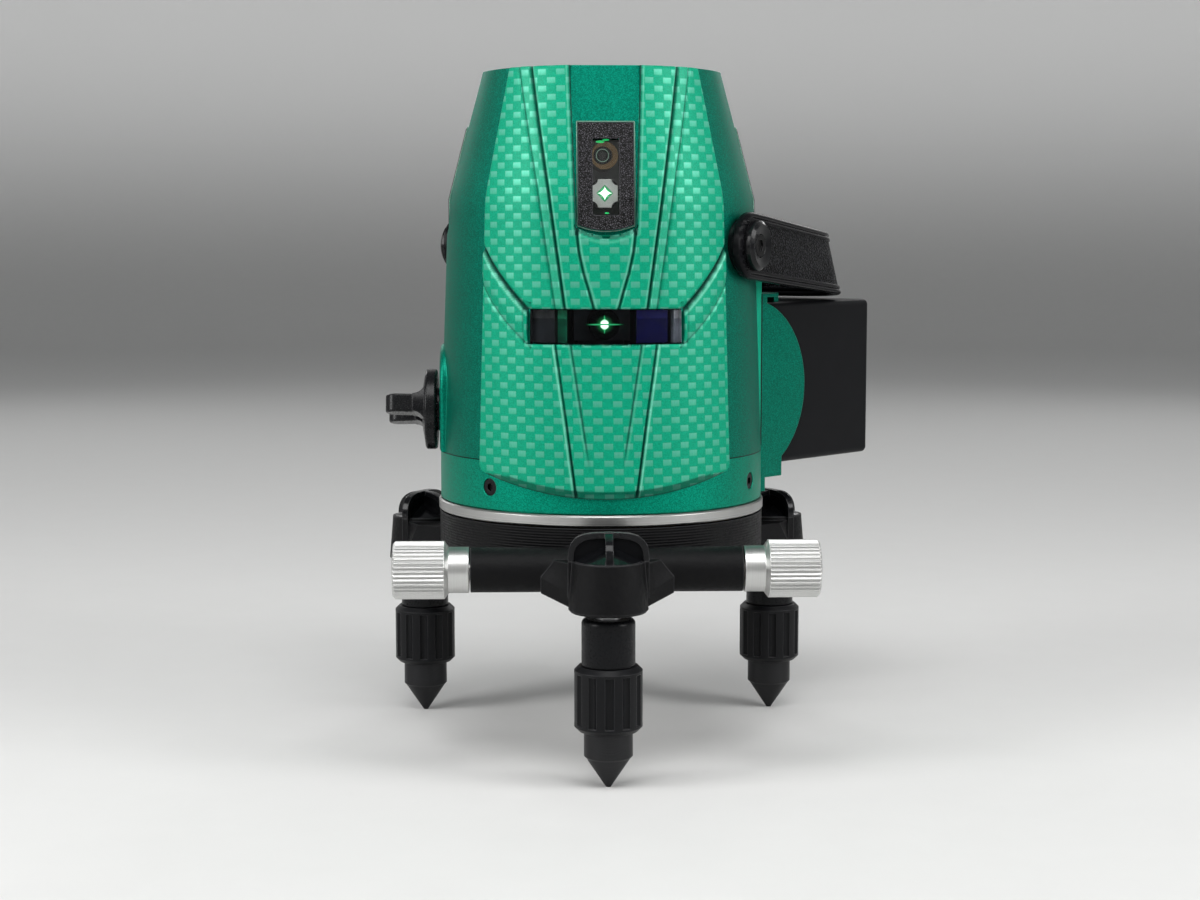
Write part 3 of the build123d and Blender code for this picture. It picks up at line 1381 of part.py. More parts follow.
for foot_name, foot_angle in LEG_ANGLES.items():
    NODES[f"foot_collar_{foot_name}"] = foot_collar(foot_angle)
    NODES[f"foot_tip_{foot_name}"] = foot_tip(foot_angle)
for key_name, key_angle in KEYS.items():
    NODES[key_name] = key(key_angle)

os.makedirs("parts", exist_ok=True)
for node_name, shape in NODES.items():
    export_step(shape, f"parts/{node_name}.step")
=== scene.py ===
import math

import bmesh
import bpy
from mathutils import Matrix, Vector


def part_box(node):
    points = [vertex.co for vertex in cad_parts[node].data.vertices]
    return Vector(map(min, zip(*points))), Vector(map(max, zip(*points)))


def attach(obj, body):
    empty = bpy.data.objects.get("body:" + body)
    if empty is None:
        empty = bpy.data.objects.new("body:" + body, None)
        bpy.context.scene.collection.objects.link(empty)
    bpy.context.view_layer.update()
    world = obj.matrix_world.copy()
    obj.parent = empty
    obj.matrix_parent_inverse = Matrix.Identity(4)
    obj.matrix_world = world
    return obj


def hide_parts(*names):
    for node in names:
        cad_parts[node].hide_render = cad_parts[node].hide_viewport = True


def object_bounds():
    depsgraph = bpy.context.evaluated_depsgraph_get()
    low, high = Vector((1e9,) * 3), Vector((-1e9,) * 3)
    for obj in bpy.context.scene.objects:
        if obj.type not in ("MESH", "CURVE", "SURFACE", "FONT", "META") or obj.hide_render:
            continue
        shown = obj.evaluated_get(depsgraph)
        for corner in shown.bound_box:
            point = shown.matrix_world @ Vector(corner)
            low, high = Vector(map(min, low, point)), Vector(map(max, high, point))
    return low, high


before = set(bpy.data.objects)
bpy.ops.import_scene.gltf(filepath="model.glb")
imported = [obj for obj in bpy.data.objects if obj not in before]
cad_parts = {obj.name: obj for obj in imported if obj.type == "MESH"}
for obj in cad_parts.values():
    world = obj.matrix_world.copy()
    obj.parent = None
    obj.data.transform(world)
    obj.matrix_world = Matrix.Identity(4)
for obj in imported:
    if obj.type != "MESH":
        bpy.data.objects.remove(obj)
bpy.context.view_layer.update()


# Base casting: a three-legged die casting with a cross tube for the fine drive.
# Aluminium in satin black paint over a slightly rough cast skin; the ring's outer wall is turned, and keeps
# the fine lines of the tool under its paint.
mm = 0.001


class Field:
    """A value that varies over a surface: one output of a node, on which sums are written as plain sums."""

    def __init__(self, socket):
        self.socket = socket
        self.tree = socket.id_data

    def __add__(self, other):
        return calc("ADD", self, other)

    def __sub__(self, other):
        return calc("SUBTRACT", self, other)

    def __rsub__(self, other):
        return calc("SUBTRACT", other, self)

    def __mul__(self, other):
        return calc("MULTIPLY", self, other)

    def __truediv__(self, other):
        return calc("DIVIDE", self, other)

    def __rtruediv__(self, other):
        return calc("DIVIDE", other, self)

    def __abs__(self):
        return calc("ABSOLUTE", self)


def feed(socket, value):
    """Link a field to a socket, or set a plain value; a plain colour is opaque."""
    if isinstance(value, Field):
        value.tree.links.new(value.socket, socket)
    elif socket.type == "RGBA":
        socket.default_value = (*value, 1)
    else:
        socket.default_value = value


def add(tree, kind, values=(), **settings):
    """Add a node, make its settings, and set or link its inputs."""
    made = tree.nodes.new("ShaderNode" + kind)
    for key, value in settings.items():
        setattr(made, key, value)
    for key, value in dict(values).items():
        feed(made.inputs[key], value)
    return made


def field(tree, kind, values=(), output=0, **settings):
    """The same, for one output of the node."""
    return Field(add(tree, kind, values, **settings).outputs[output])


def calc(operation, *values):
    """The field that one sum of fields and numbers gives."""
    tree = next(value.tree for value in values if isinstance(value, Field))
    return field(tree, "Math", enumerate(values), operation=operation)


def ramp(value, low, high, to_low=0.0, to_high=1.0):
    """Carry a field from one range to another, smoothly, and hold it at the ends."""
    given = enumerate((value, low, high, to_low, to_high))
    return field(value.tree, "MapRange", given, interpolation_type="SMOOTHSTEP")


def blend(share, first, second):
    """A colour between two."""
    return field(share.tree, "Mix", {0: share, 6: first, 7: second}, 2, data_type="RGBA")


def place(tree):
    """Object coordinates."""
    return field(tree, "TexCoord", output="Object")


def split(coords):
    """The three parts of coordinates."""
    return [Field(part) for part in add(coords.tree, "SeparateXYZ", {0: coords}).outputs]


def reach_of(x, y):
    """How far two coordinates together lead from their axis."""
    return calc("SQRT", calc("POWER", x, 2.0) + calc("POWER", y, 2.0))


def new_group(name, inputs, outputs):
    """A group of nodes, with its inputs as fields and the node that takes its results."""
    group = bpy.data.node_groups.new(name, "ShaderNodeTree")
    for label, start in inputs.items():
        group.interface.new_socket(label, in_out="INPUT", socket_type="NodeSocketFloat").default_value = start
    for label, kind in outputs.items():
        group.interface.new_socket(label, in_out="OUTPUT", socket_type="NodeSocket" + kind)
    given = group.nodes.new("NodeGroupInput").outputs
    return group, {label: Field(given[label]) for label in inputs}, group.nodes.new("NodeGroupOutput")


def new_finish(name, **constants):
    """A material with its Principled shader, and the values that are the same all over it."""
    material = bpy.data.materials.new(name)
    material.use_nodes = True
    shader = material.node_tree.nodes["Principled BSDF"]
    for key, value in constants.items():
        shader.inputs[key.replace("_", " ")].default_value = value
    return material, material.node_tree, shader


def surface(shader, **fields):
    """Give a shader what varies over its surface."""
    for key, value in fields.items():
        feed(shader.inputs[key.replace("_", " ")], value)


def bump(shader, height, depth, strength=1.0, normal=None):
    """Turn a height from 0 to 1 into relief of a real depth."""
    given = {"Height": height, "Distance": depth * mm, "Strength": strength}
    if normal is not None:
        given["Normal"] = normal
    surface(shader, Normal=field(height.tree, "Bump", given))


def dress(material, *nodes):
    """Give CAD nodes a finish."""
    for node in nodes:
        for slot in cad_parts[node].material_slots:
            slot.link = "OBJECT"
            slot.material = material


def make_soft_edge():
    """Rounds a hard edge in the light, and finds where the edges are."""
    group, given, result = new_group("soft_edge", {"Radius": 0.3 * mm}, {"Normal": "Vector", "Edge": "Float"})
    rounded = field(group, "Bevel", {"Radius": given["Radius"]}, samples=6)
    flat = field(group, "NewGeometry", output="Normal")
    turn = field(group, "VectorMath", {0: rounded, 1: flat}, "Value", operation="DOT_PRODUCT")
    feed(result.inputs["Normal"], rounded)
    feed(result.inputs["Edge"], ramp(turn, 0.995, 0.85))
    return group


def make_grain():
    """Fine even grain, from its size."""
    group, given, result = new_group("grain", {"Size": 0.4 * mm, "Rough": 0.6}, {"Grain": "Float"})
    scale = 1.0 / given["Size"]
    values = {"Vector": place(group), "Scale": scale, "Roughness": given["Rough"], "Detail": 3.0}
    feed(result.inputs["Grain"], field(group, "TexNoise", values))
    return group


soft_edge = make_soft_edge()
grain = make_grain()


def edges_of(tree, radius):
    """Where the hard edges are, and a normal that rounds them."""
    made = add(tree, "Group", {"Radius": radius * mm}, node_tree=soft_edge).outputs
    return Field(made["Edge"]), Field(made["Normal"])


def grain_of(tree, size, rough=0.6):
    return field(tree, "Group", {"Size": size * mm, "Rough": rough}, node_tree=grain)


def over_grain(fine, low, high, valley=0.3, crest=0.7):
    """A value that follows a grain from its valleys to its crests."""
    return ramp(fine, valley, crest, low, high)


def cast_black():
    material, tree, shader = new_finish("cast_black_paint", Specular_IOR_Level=0.11)
    x, y, z = split(place(tree))
    edge, normal = edges_of(tree, 0.6)
    lumps, skin = grain_of(tree, 1.6), grain_of(tree, 0.28)
    radius, tool_pitch = reach_of(x, y), 0.9 * mm
    wall_in, wall_out, fade = 54.6 * mm, 56.2 * mm, 0.5 * mm
    on_wall = ramp(radius, wall_in, wall_in + fade) * ramp(radius, wall_out, wall_out - fade)
    lines = calc("SINE", z * (2 * math.pi / tool_pitch)) * on_wall
    dark = blend(lumps, (0.0025, 0.0025, 0.003), (0.006, 0.006, 0.0065))
    # Along its edges the paint is painted lighter: a painted highlight.
    tone = blend(edge, dark, (0.05, 0.05, 0.052))
    surface(shader, Base_Color=tone, Roughness=over_grain(lumps, 0.36, 0.50))
    bump(shader, skin * 0.7 + lumps * 0.9 + lines * 0.3, 0.2, 0.9, normal)
    return material


dress(cast_black(), "base_casting")


# Tripod insert, spindle and bushes: what the base turns on and is screwed down by.
# Turned brass and bright zinc-plated steel, pressed or screwed into the casting.
def make_turning_marks():
    """Fine rings left by a lathe tool, from a distance along or out from the axis."""
    group, given, result = new_group("turning_marks", {"Along": 0.0, "Pitch": 0.2 * mm}, {"Mark": "Float"})
    values = {"W": given["Along"] / given["Pitch"], "Scale": 1.0, "Detail": 3.0}
    feed(result.inputs["Mark"], field(group, "TexNoise", values, noise_dimensions="1D"))
    return group


turning_marks = make_turning_marks()


def turned_metal(name, dull, bright, rough, about="z", pitch=0.22):
    """Bright metal turned about one axis; about the upright one its marks also run out from the axis."""
    material, tree, shader = new_finish(name, Metallic=1.0)
    x, y, z = split(place(tree))
    travel = x if about == "x" else z + reach_of(x, y)
    edge, normal = edges_of(tree, 0.3)
    mark = field(tree, "Group", {"Along": travel, "Pitch": pitch * mm}, node_tree=turning_marks)
    cloud, edge_highlight_tone = grain_of(tree, 4.0), [min(1.0, 1.15 * c) for c in bright]
    # Along its edges the metal is painted a little lighter: a painted highlight.
    tone = blend(edge, blend(mark, dull, bright), edge_highlight_tone)
    surface(shader, Base_Color=tone, Roughness=over_grain(mark, rough, rough + 0.1) + cloud * 0.12)
    bump(shader, mark, 0.012, 0.5, normal)
    return material


brass = turned_metal("turned_brass", (0.42, 0.27, 0.10), (0.60, 0.42, 0.18), rough=0.26)
bright_steel = turned_metal("zinc_steel", (0.44, 0.44, 0.45), (0.60, 0.60, 0.61), rough=0.25)
dress(brass, "tripod_insert", "worm_bushes", "worm_wheel", "turntable_bush")
dress(brass, "battery_contacts", "pendulum_weight")
dress(bright_steel, "spindle", "spindle_nut", "foot_studs", "worm_shaft", "clutch_spring", "lock_shaft")


# Clutch washer: a ring between the wheel and the turntable, which lets the head be turned by hand.
# Stamped from brown fibre sheet, and loose on its bush.
def fibre():
    material, tree, shader = new_finish("brown_fibre")
    strands = grain_of(tree, 0.5, 0.8)
    tone = blend(strands, (0.10, 0.055, 0.03), (0.22, 0.13, 0.07))
    surface(shader, Base_Color=tone, Roughness=over_grain(strands, 0.7, 0.9, 0.2, 0.8))
    bump(shader, strands, 0.05)
    return material


dress(fibre(), "clutch_washer")


# Legs and feet: on each leg a cap of two crossed bows filled by thin webs, a smooth sleeve, a grooved collar
# turned by hand, and a pointed tip. Caps, sleeves and collars are moulded in black plastic, caps and sleeves
# glossy; the tips are dark anodised steel.
def moulded_black(name, rough, grain, depth, edge=0.4, shine=0.16):
    """Black plastic with a fine spark-eroded grain, and smoother edges that carry a painted highlight."""
    material, tree, shader = new_finish(name, Specular_IOR_Level=shine)
    on_edge, normal = edges_of(tree, edge)
    fine, cloud = grain_of(tree, grain), grain_of(tree, 9)
    dark = blend(cloud, (0.004, 0.0042, 0.005), (0.0065, 0.0068, 0.0078))
    dull = over_grain(fine, rough - 0.05, rough + 0.05) - on_edge * 0.08
    surface(shader, Base_Color=blend(on_edge, dark, (0.045, 0.045, 0.047)), Roughness=dull)
    bump(shader, fine, depth, 0.7, normal)
    return material


cap_gloss = moulded_black("leg_cap_gloss_black", rough=0.13, grain=0.9, depth=0.010, edge=0.5, shine=0.2)
sleeve_black = moulded_black("sleeve_gloss_black", rough=0.30, grain=0.8, depth=0.010, edge=0.4, shine=0.13)
collar_black = moulded_black("collar_satin_black", rough=0.40, grain=0.3, depth=0.03)
tip_tones = (0.02, 0.02, 0.021), (0.05, 0.05, 0.052)
tip_steel = turned_metal("tip_dark_anodised", *tip_tones, rough=0.36, pitch=0.35)
dress(sleeve_black, "foot_sleeves")
dress(collar_black, "foot_collar_front", "foot_collar_right", "foot_collar_left")
dress(tip_steel, "foot_tip_front", "foot_tip_right", "foot_tip_left")
foot_circle_r, boss_top_z = 72.7, 13.7
leg_angles = (-90, 30, 150)


def shift(mesh, vec, verts=None):
    bmesh.ops.translate(mesh, verts=verts or mesh.verts[:], vec=vec)


def stretch(mesh, vec, verts=None):
    bmesh.ops.scale(mesh, verts=verts or mesh.verts[:], vec=vec)


def swing(mesh, degrees, axis="Z", verts=None):
    matrix = Matrix.Rotation(math.radians(degrees), 3, axis)
    bmesh.ops.rotate(mesh, verts=verts or mesh.verts[:], cent=(0, 0, 0), matrix=matrix)


def verts_in(geom):
    return [part for part in geom if isinstance(part, bmesh.types.BMVert)]


def face_out(mesh):
    bmesh.ops.recalc_face_normals(mesh, faces=mesh.faces[:])
    return mesh


def add_rib(mesh, outer, inner, width, fullness, turn):
    """A rib over the leg, filled between two round outlines, each given its reach and rise in millimetres."""
    inside = bmesh.ops.create_grid(mesh, x_segments=40, y_segments=1, size=0.5)["verts"]
    faces = list(dict.fromkeys(face for vert in inside for face in vert.link_faces))
    outside = verts_in(bmesh.ops.extrude_face_region(mesh, geom=faces, use_keep_orig=True)["geom"])
    for verts, (reach, rise) in ((inside, inner), (outside, outer)):
        for vert in verts:
            lean = math.pi * (vert.co.x + 0.5)
            x = reach * math.copysign(abs(math.cos(lean)) ** fullness, math.cos(lean))
            vert.co = (x, width * vert.co.y, rise * max(0.0, math.sin(lean)) ** fullness)
    swing(mesh, turn, "Z", inside + outside)
    return inside + outside


def on_legs(make):
    """What one function makes for a leg, on all three legs."""
    mesh = bmesh.new()
    for angle in leg_angles:
        verts = make(mesh)
        shift(mesh, (foot_circle_r, 0, boss_top_z), verts)
        swing(mesh, angle, "Z", verts)
    stretch(mesh, (mm, mm, mm))
    return face_out(mesh)


def crown(mesh):
    """A low cone under two bows that cross."""
    rise = 5.2
    cone = bmesh.ops.create_cone(mesh, cap_ends=True, segments=56, radius1=10.7, radius2=0.5, depth=rise)
    cone = cone["verts"]
    shift(mesh, (0, 0, rise / 2), cone)
    across_leg = add_rib(mesh, (12.7, 9.0), (10.9, 7.2), width=2.4, fullness=0.62, turn=90)
    along_leg = add_rib(mesh, (10.4, 8.8), (8.6, 7.0), width=2.4, fullness=0.85, turn=0)
    return cone + across_leg + along_leg


def webs(mesh):
    """Thin walls that fill the bows."""
    across_leg = add_rib(mesh, (11.8, 8.1), (11.8, 0.0), width=0.9, fullness=0.62, turn=90)
    return across_leg + add_rib(mesh, (9.5, 7.9), (9.5, 0.0), width=0.9, fullness=0.85, turn=0)


def new_object(name, mesh, material, sharp=35.0):
    """Make a finished mesh an object of its own, with edges sharper than an angle left hard."""
    data = bpy.data.meshes.new(name)
    mesh.to_mesh(data)
    mesh.free()
    data.polygons.foreach_set("use_smooth", [True] * len(data.polygons))
    data.set_sharp_from_angle(angle=math.radians(sharp))
    piece = bpy.data.objects.new(name, data)
    bpy.context.scene.collection.objects.link(piece)
    data.materials.append(material)
    return piece


def new_piece(name, mesh, material, body):
    """The same for a piece of the tool, on its body."""
    piece = new_object(name, mesh, material)
    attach(piece, body)
    return piece


crowns = new_piece("leg_cap_crowns", on_legs(crown), cap_gloss, "base")
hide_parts("leg_caps")
web_black = moulded_black("leg_cap_web_black", rough=0.34, grain=0.4, depth=0.015, edge=0.1, shine=0.05)
new_piece("leg_cap_webs", on_legs(webs), web_black, "base")


# Fine-drive knobs: straight-knurled barrels with plain necks, on the two ends of the worm shaft.
# Turned aluminium, left bright.
knob_tones = (0.50, 0.50, 0.49), (0.70, 0.70, 0.69)
knob_aluminium = turned_metal("knob_bright_aluminium", *knob_tones, rough=0.24, about="x")
dress(knob_aluminium, "fine_knob_left", "fine_knob_right")


# Turntable: the bright ring that shows between the base and the head, turned from aluminium.
# It runs on its bush, and the clutch spring presses it onto the worm wheel.
table_tones = (0.36, 0.36, 0.35), (0.56, 0.56, 0.55)
ring_aluminium = turned_metal("ring_bright_aluminium", *table_tones, rough=0.26, pitch=0.3)
dress(ring_aluminium, "turntable")


# Head shells: lower ring, upper housing and battery bracket, cast and sprayed in green metallic paint.
# The paint has a fine flake under a satin clear coat. Socket screws through the ring hold them together.
def make_flake():
    """Tiny plates in the paint, each a little lighter or darker than the next."""
    group, given, result = new_group("paint_flake", {"Size": 0.2 * mm}, {"Flake": "Float"})
    plates = field(group, "TexVoronoi", {"Vector": place(group), "Scale": 1.0 / given["Size"]}, "Color")
    feed(result.inputs["Flake"], field(group, "SeparateColor", {0: plates}))
    return group


flake = make_flake()


def flake_of(tree, size):
    return field(tree, "Group", {"Size": size * mm}, node_tree=flake)


seam_z = 41.7
fin_face, fin_start = 37.5, 36.0


def green_paint(name, dull, bright, edge_highlight, housing=False):
    """Metallic paint with a painted highlight along its edges; on the housing it is dark in the seam,
    and the fins beside the bracket carry a painted highlight.
    """
    material, tree, shader = new_finish(
        name, Metallic=0.7, Coat_Weight=0.03, Coat_Roughness=0.2, Specular_IOR_Level=0.08
    )
    edge, normal = edges_of(tree, 0.4)
    plates, orange_peel = flake_of(tree, 0.26), grain_of(tree, 1.4)
    body = blend(edge, blend(ramp(plates, 0.2, 1.0), dull, bright), edge_highlight)
    if housing:
        x, y, z = split(place(tree))
        side, out = abs((x - y) * math.sqrt(0.5)), (x + y) * math.sqrt(0.5)
        past_start = ramp(out, fin_start * mm, (fin_start + 1) * mm)
        # The fins' faces are painted brighter: a painted highlight.
        fin_highlight = ramp(abs(side - fin_face * mm), 0.2 * mm, 0.1 * mm) * past_start
        in_seam = ramp(abs(z - seam_z * mm), 0.26 * mm, 0.1 * mm)
        body = blend(in_seam, blend(fin_highlight, body, (0.012, 0.44, 0.27)), (0.0, 0.006, 0.004))
    surface(shader, Base_Color=body, Roughness=ramp(plates, 0.0, 1.0, 0.36, 0.48))
    bump(shader, plates * 0.35 + orange_peel * 0.65, 0.015, 0.6, normal)
    return material


# The third tone of each is the painted highlight along the edges.
ring_tones = ((0.0, 0.185, 0.115), (0.001, 0.33, 0.21), (0.02, 0.34, 0.23))
shell_tones = ((0.0, 0.125, 0.081), (0.001, 0.235, 0.155), (0.02, 0.27, 0.18))
dress(green_paint("green_ring_paint", *ring_tones, True), "lower_housing")
dress(green_paint("green_housing_paint", *shell_tones, True), "upper_housing")
dress(green_paint("green_bracket_paint", *shell_tones), "battery_bracket")


def box_at(mesh, size, at):
    """A rectangular block, from its size and its middle."""
    made = bmesh.ops.create_cube(mesh, size=1.0)["verts"]
    stretch(mesh, size, made)
    shift(mesh, at, made)


def bracket_gap_shade():
    """A black strip in the joint between each fin and the bracket's cheek: painted shade for the gap."""
    mesh = bmesh.new()
    shade_strip, sunk, out, middle_z = (0.55 * mm, 0.4 * mm, 52.4 * mm), 0.14, 41.1, 68.2
    for side in (-1, 1):
        box_at(mesh, shade_strip, (out * mm, side * (fin_face - sunk) * mm, middle_z * mm))
    swing(mesh, 45)
    return mesh


gap_shade_black = moulded_black("gap_shade_matt_black", rough=0.6, grain=0.3, depth=0.02, edge=0.1, shine=0.1)
new_piece("bracket_gap_shade", bracket_gap_shade(), gap_shade_black, "head")


# Screws: socket heads let into the ring, the top, the pivots and the bracket.
# Steel, blackened in oil.
black_steel = turned_metal("blackened_steel", (0.012, 0.012, 0.013), (0.035, 0.035, 0.036), rough=0.32)
dress(black_steel, "lower_housing_screws", "top_screws", "handle_screws", "bracket_screws")


# Front panel: a moulded skin over the front of the housing, with a woven film under clear lacquer.
# Beads, brows beside the curved window, a shield under the sill and a valley below are moulded in. The
# grooves carry painted shade and the lips beside them a painted highlight. The skin is bonded to the housing.
kink_z, top_z = 126.5, 168.5
body_r, kink_r, top_r, kink_round = 55.0, 51.9, 41.0, 40.0
panel_half_angle, panel_side_z, panel_dip = math.radians(47.0), 38.2, 7.6
panel_back, panel_face, panel_corner = 0.05, 1.25, 3.0
channel_low_half, channel_top_half, sill_z, sill_sag = 9.4, 11.2, 114.2, 2.7
ledge_high, ledge_low = 1.1, 1.5
slit_low, slit_high, slit_half = 79.85, 91.15, 24.75
bead_inner = ((13.5, 91.5), (18.9, 128.7), (25.2, 168.5))
bead_outer = ((16.6, 91.5), (22.5, 128.7), (29.9, 168.5))
shield_side = ((4.2, 91.9), (5.4, 96.2), (7.3, 102.5), (8.8, 109.2), (9.5, 115.5))
brow_top = ((26.4, 91.0), (32.7, 97.0), (37.2, 101.8), (40.4, 105.5), (43.2, 109.5), (45.5, 112.0))
brow_foot = ((26.0, 79.6), (32.4, 85.0), (37.7, 90.2), (40.7, 93.7), (43.1, 97.1), (45.5, 101.0))
valley_outer = ((9.7, 30.5), (13.1, 56.0), (16.5, 79.5))
valley_inner = ((3.9, 30.5), (6.2, 45.2), (8.9, 62.5), (11.5, 79.5))


def wall_radius(z):
    """The housing's radius at a height, with its kink rounded."""
    low_slope, high_slope = (body_r - kink_r) / (kink_z - seam_z), (kink_r - top_r) / (top_z - kink_z)
    reach = kink_round * math.tan((math.atan(high_slope) - math.atan(low_slope)) / 2)
    plain = kink_r - (z - kink_z) * (low_slope if z < kink_z else high_slope)
    past = max(0.0, 1.0 - abs(z - kink_z) / reach)
    return plain - (high_slope - low_slope) * reach / 4 * past**2


def across(points, height):
    """Where a line drawn through points, each given across and up, stands at a height."""
    for (s0, z0), (s1, z1) in zip(points, points[1:]):
        if height <= z1 or z1 == points[-1][1]:
            return s0 + (s1 - s0) * (height - z0) / (z1 - z0)


def up_from(points, side):
    """How high the same kind of line runs at a place across."""
    return across([(z, s) for s, z in points], side)


def swell(distance, width):
    return math.exp(-((distance / width) ** 2))


def ease(value):
    value = min(1.0, max(0.0, value))
    return value * value * (3 - 2 * value)


def rounding(distance, width):
    """How far an edge falls away at a distance from it."""
    return max(0.0, 1 - distance / width) ** 2


def channel_half(z):
    return channel_low_half + (channel_top_half - channel_low_half) * (z - sill_z) / (top_z - sill_z)


def sill_at(x):
    return sill_z + sill_sag * (x / channel_low_half) ** 2


def panel_foot(angle):
    half = body_r * math.sin(panel_half_angle)
    dip_r = (half**2 + panel_dip**2) / (2 * panel_dip)
    x = body_r * math.sin(angle)
    short = max(0.0, panel_corner - (panel_half_angle - abs(angle)) * body_r)
    corner = panel_corner - math.sqrt(panel_corner**2 - min(short, panel_corner) ** 2)
    return panel_side_z - panel_dip + dip_r - math.sqrt(dip_r**2 - x**2) + corner


def panel_form(angle, z):
    """The panel's face at a place: its relief, its painted shade in grooves, and its painted highlight on
    lips.

    Each groove and lip is a swell, given by its share or depth and by its half width in millimetres.
    """
    radius = wall_radius(z) + panel_face
    side, x = abs(angle) * radius, abs(math.sin(angle)) * radius
    relief, groove, lip_highlight = 0.0, 0.0, 0.0
    if z > slit_high - 1:
        inner, outer = across(bead_inner, z) - side, across(bead_outer, z) - side
        on_bead = ease(-inner / 0.8) * ease(outer / 0.8)
        relief += 0.4 * on_bead
        relief -= 1.0 * swell(inner, 0.55) + 0.45 * swell(outer, 0.4)
        groove += 1.0 * swell(inner, 0.46) + 0.55 * swell(outer, 0.3)
        lip_highlight += 0.45 * swell(inner - 0.95, 0.3) + 0.12 * on_bead
        if z < sill_at(x) + 0.2:
            edge, under = across(shield_side, z) - side, sill_at(x) - z
            inside = ease((edge + 0.6) / 0.6)
            on_ledge = inside * ease((ledge_low - under) / (ledge_low - ledge_high))
            relief -= 1.0 * swell(edge, 0.55) + 0.45 * ease(edge / (edge + side + 0.01))
            relief -= 0.7 * ease(1 - under / 1.5) * inside
            groove += 0.95 * swell(edge, 0.46) + 0.72 * on_ledge
            lip_highlight += 0.6 * swell(edge - 0.9, 0.35) + 0.4 * inside * swell(under - 2.0, 0.4)
    if side > slit_half:
        above, below = (z - up_from(brow_top, side)) * 0.72, (z - up_from(brow_foot, side)) * 0.74
        relief += 0.5 * ease(below / 3.7) * ease(-above / 0.65)
        relief -= 1.1 * swell(above, 0.75) + 0.4 * swell(below, 0.4)
        groove += 1.2 * swell(above, 0.72) + 0.6 * swell(below, 0.28)
        lip_highlight += 0.9 * swell(above + 1.15, 0.3)
        if slit_low < z < slit_high + 2:
            from_slit = side - slit_half
            relief -= 0.7 * ease(1 - from_slit / 2.8)
            groove += 0.45 * swell(from_slit - 2.7, 0.3)
    if z < slit_low:
        outer, inner = across(valley_outer, z), across(valley_inner, z)
        fade = ease((z - 38.0) / 12.0)
        relief -= 0.7 * ease((outer - side) / (outer - inner))
        relief += 0.4 * swell(side - outer - 0.8, 0.5) - 0.8 * swell(side - outer, 0.45)
        relief -= 0.4 * swell(side - inner, 0.5) * fade
        groove += (0.8 + 0.4 * ease((62 - z) / 20)) * swell(side - outer, 0.42)
        groove += 0.85 * fade * swell(side - inner, 0.36)
        lip_highlight += 0.9 * swell(side - outer - 0.75, 0.28) + 0.3 * fade * swell(side - inner - 0.7, 0.3)
    from_foot, from_side = z - panel_foot(angle), (panel_half_angle - abs(angle)) * radius
    bevel = 2.3 * ease(from_side / 16.0) + 0.3
    relief -= 0.95 * max(0.0, 1 - from_foot / bevel)
    relief -= 0.6 * rounding(from_side, 0.7)
    relief -= 0.4 * rounding(top_z - z, 0.6)
    groove += 0.62 * ease((bevel - from_foot) / 0.35) + 0.5 * swell(from_foot, 0.25)
    groove += 0.45 * swell(from_side, 0.22)
    if z > sill_z:
        from_channel = abs(x - channel_half(z))
        relief -= 0.5 * rounding(from_channel, 0.7)
        groove += 0.95 * swell(from_channel - 0.2, 0.5)
        lip_highlight += 0.45 * swell(from_channel - 1.2, 0.25)
    if side < slit_half + 1:
        relief -= 0.5 * rounding(min(abs(z - slit_low), abs(z - slit_high)), 0.7)
    return max(relief, panel_back - panel_face + 0.1), min(groove, 1.0), min(lip_highlight, 1.0)


def on_head(angle, z, proud):
    """A point of the head, from its angle off the front and its height in millimetres."""
    radius = (wall_radius(z) + proud) * mm
    return Vector((radius * math.sin(angle), -radius * math.cos(angle), z * mm))


def cut_outline(mesh, outline, reach=1.5 * mm):
    """Cut a mesh along an outline drawn in front view."""
    for (x0, z0), (x1, z1) in zip(outline, outline[1:]):
        low = (min(x0, x1) - reach, min(z0, z1) - reach)
        high = (max(x0, x1) + reach, max(z0, z1) + reach)
        parts = {}
        for face in mesh.faces:
            middle = face.calc_center_median()
            if low[0] < middle.x < high[0] and low[1] < middle.z < high[1]:
                parts.update(dict.fromkeys((face, *face.edges, *face.verts)))
        normal = (z1 - z0, 0, x0 - x1)
        bmesh.ops.bisect_plane(mesh, geom=list(parts), dist=1e-6, plane_co=(x0, 0, z0), plane_no=normal)


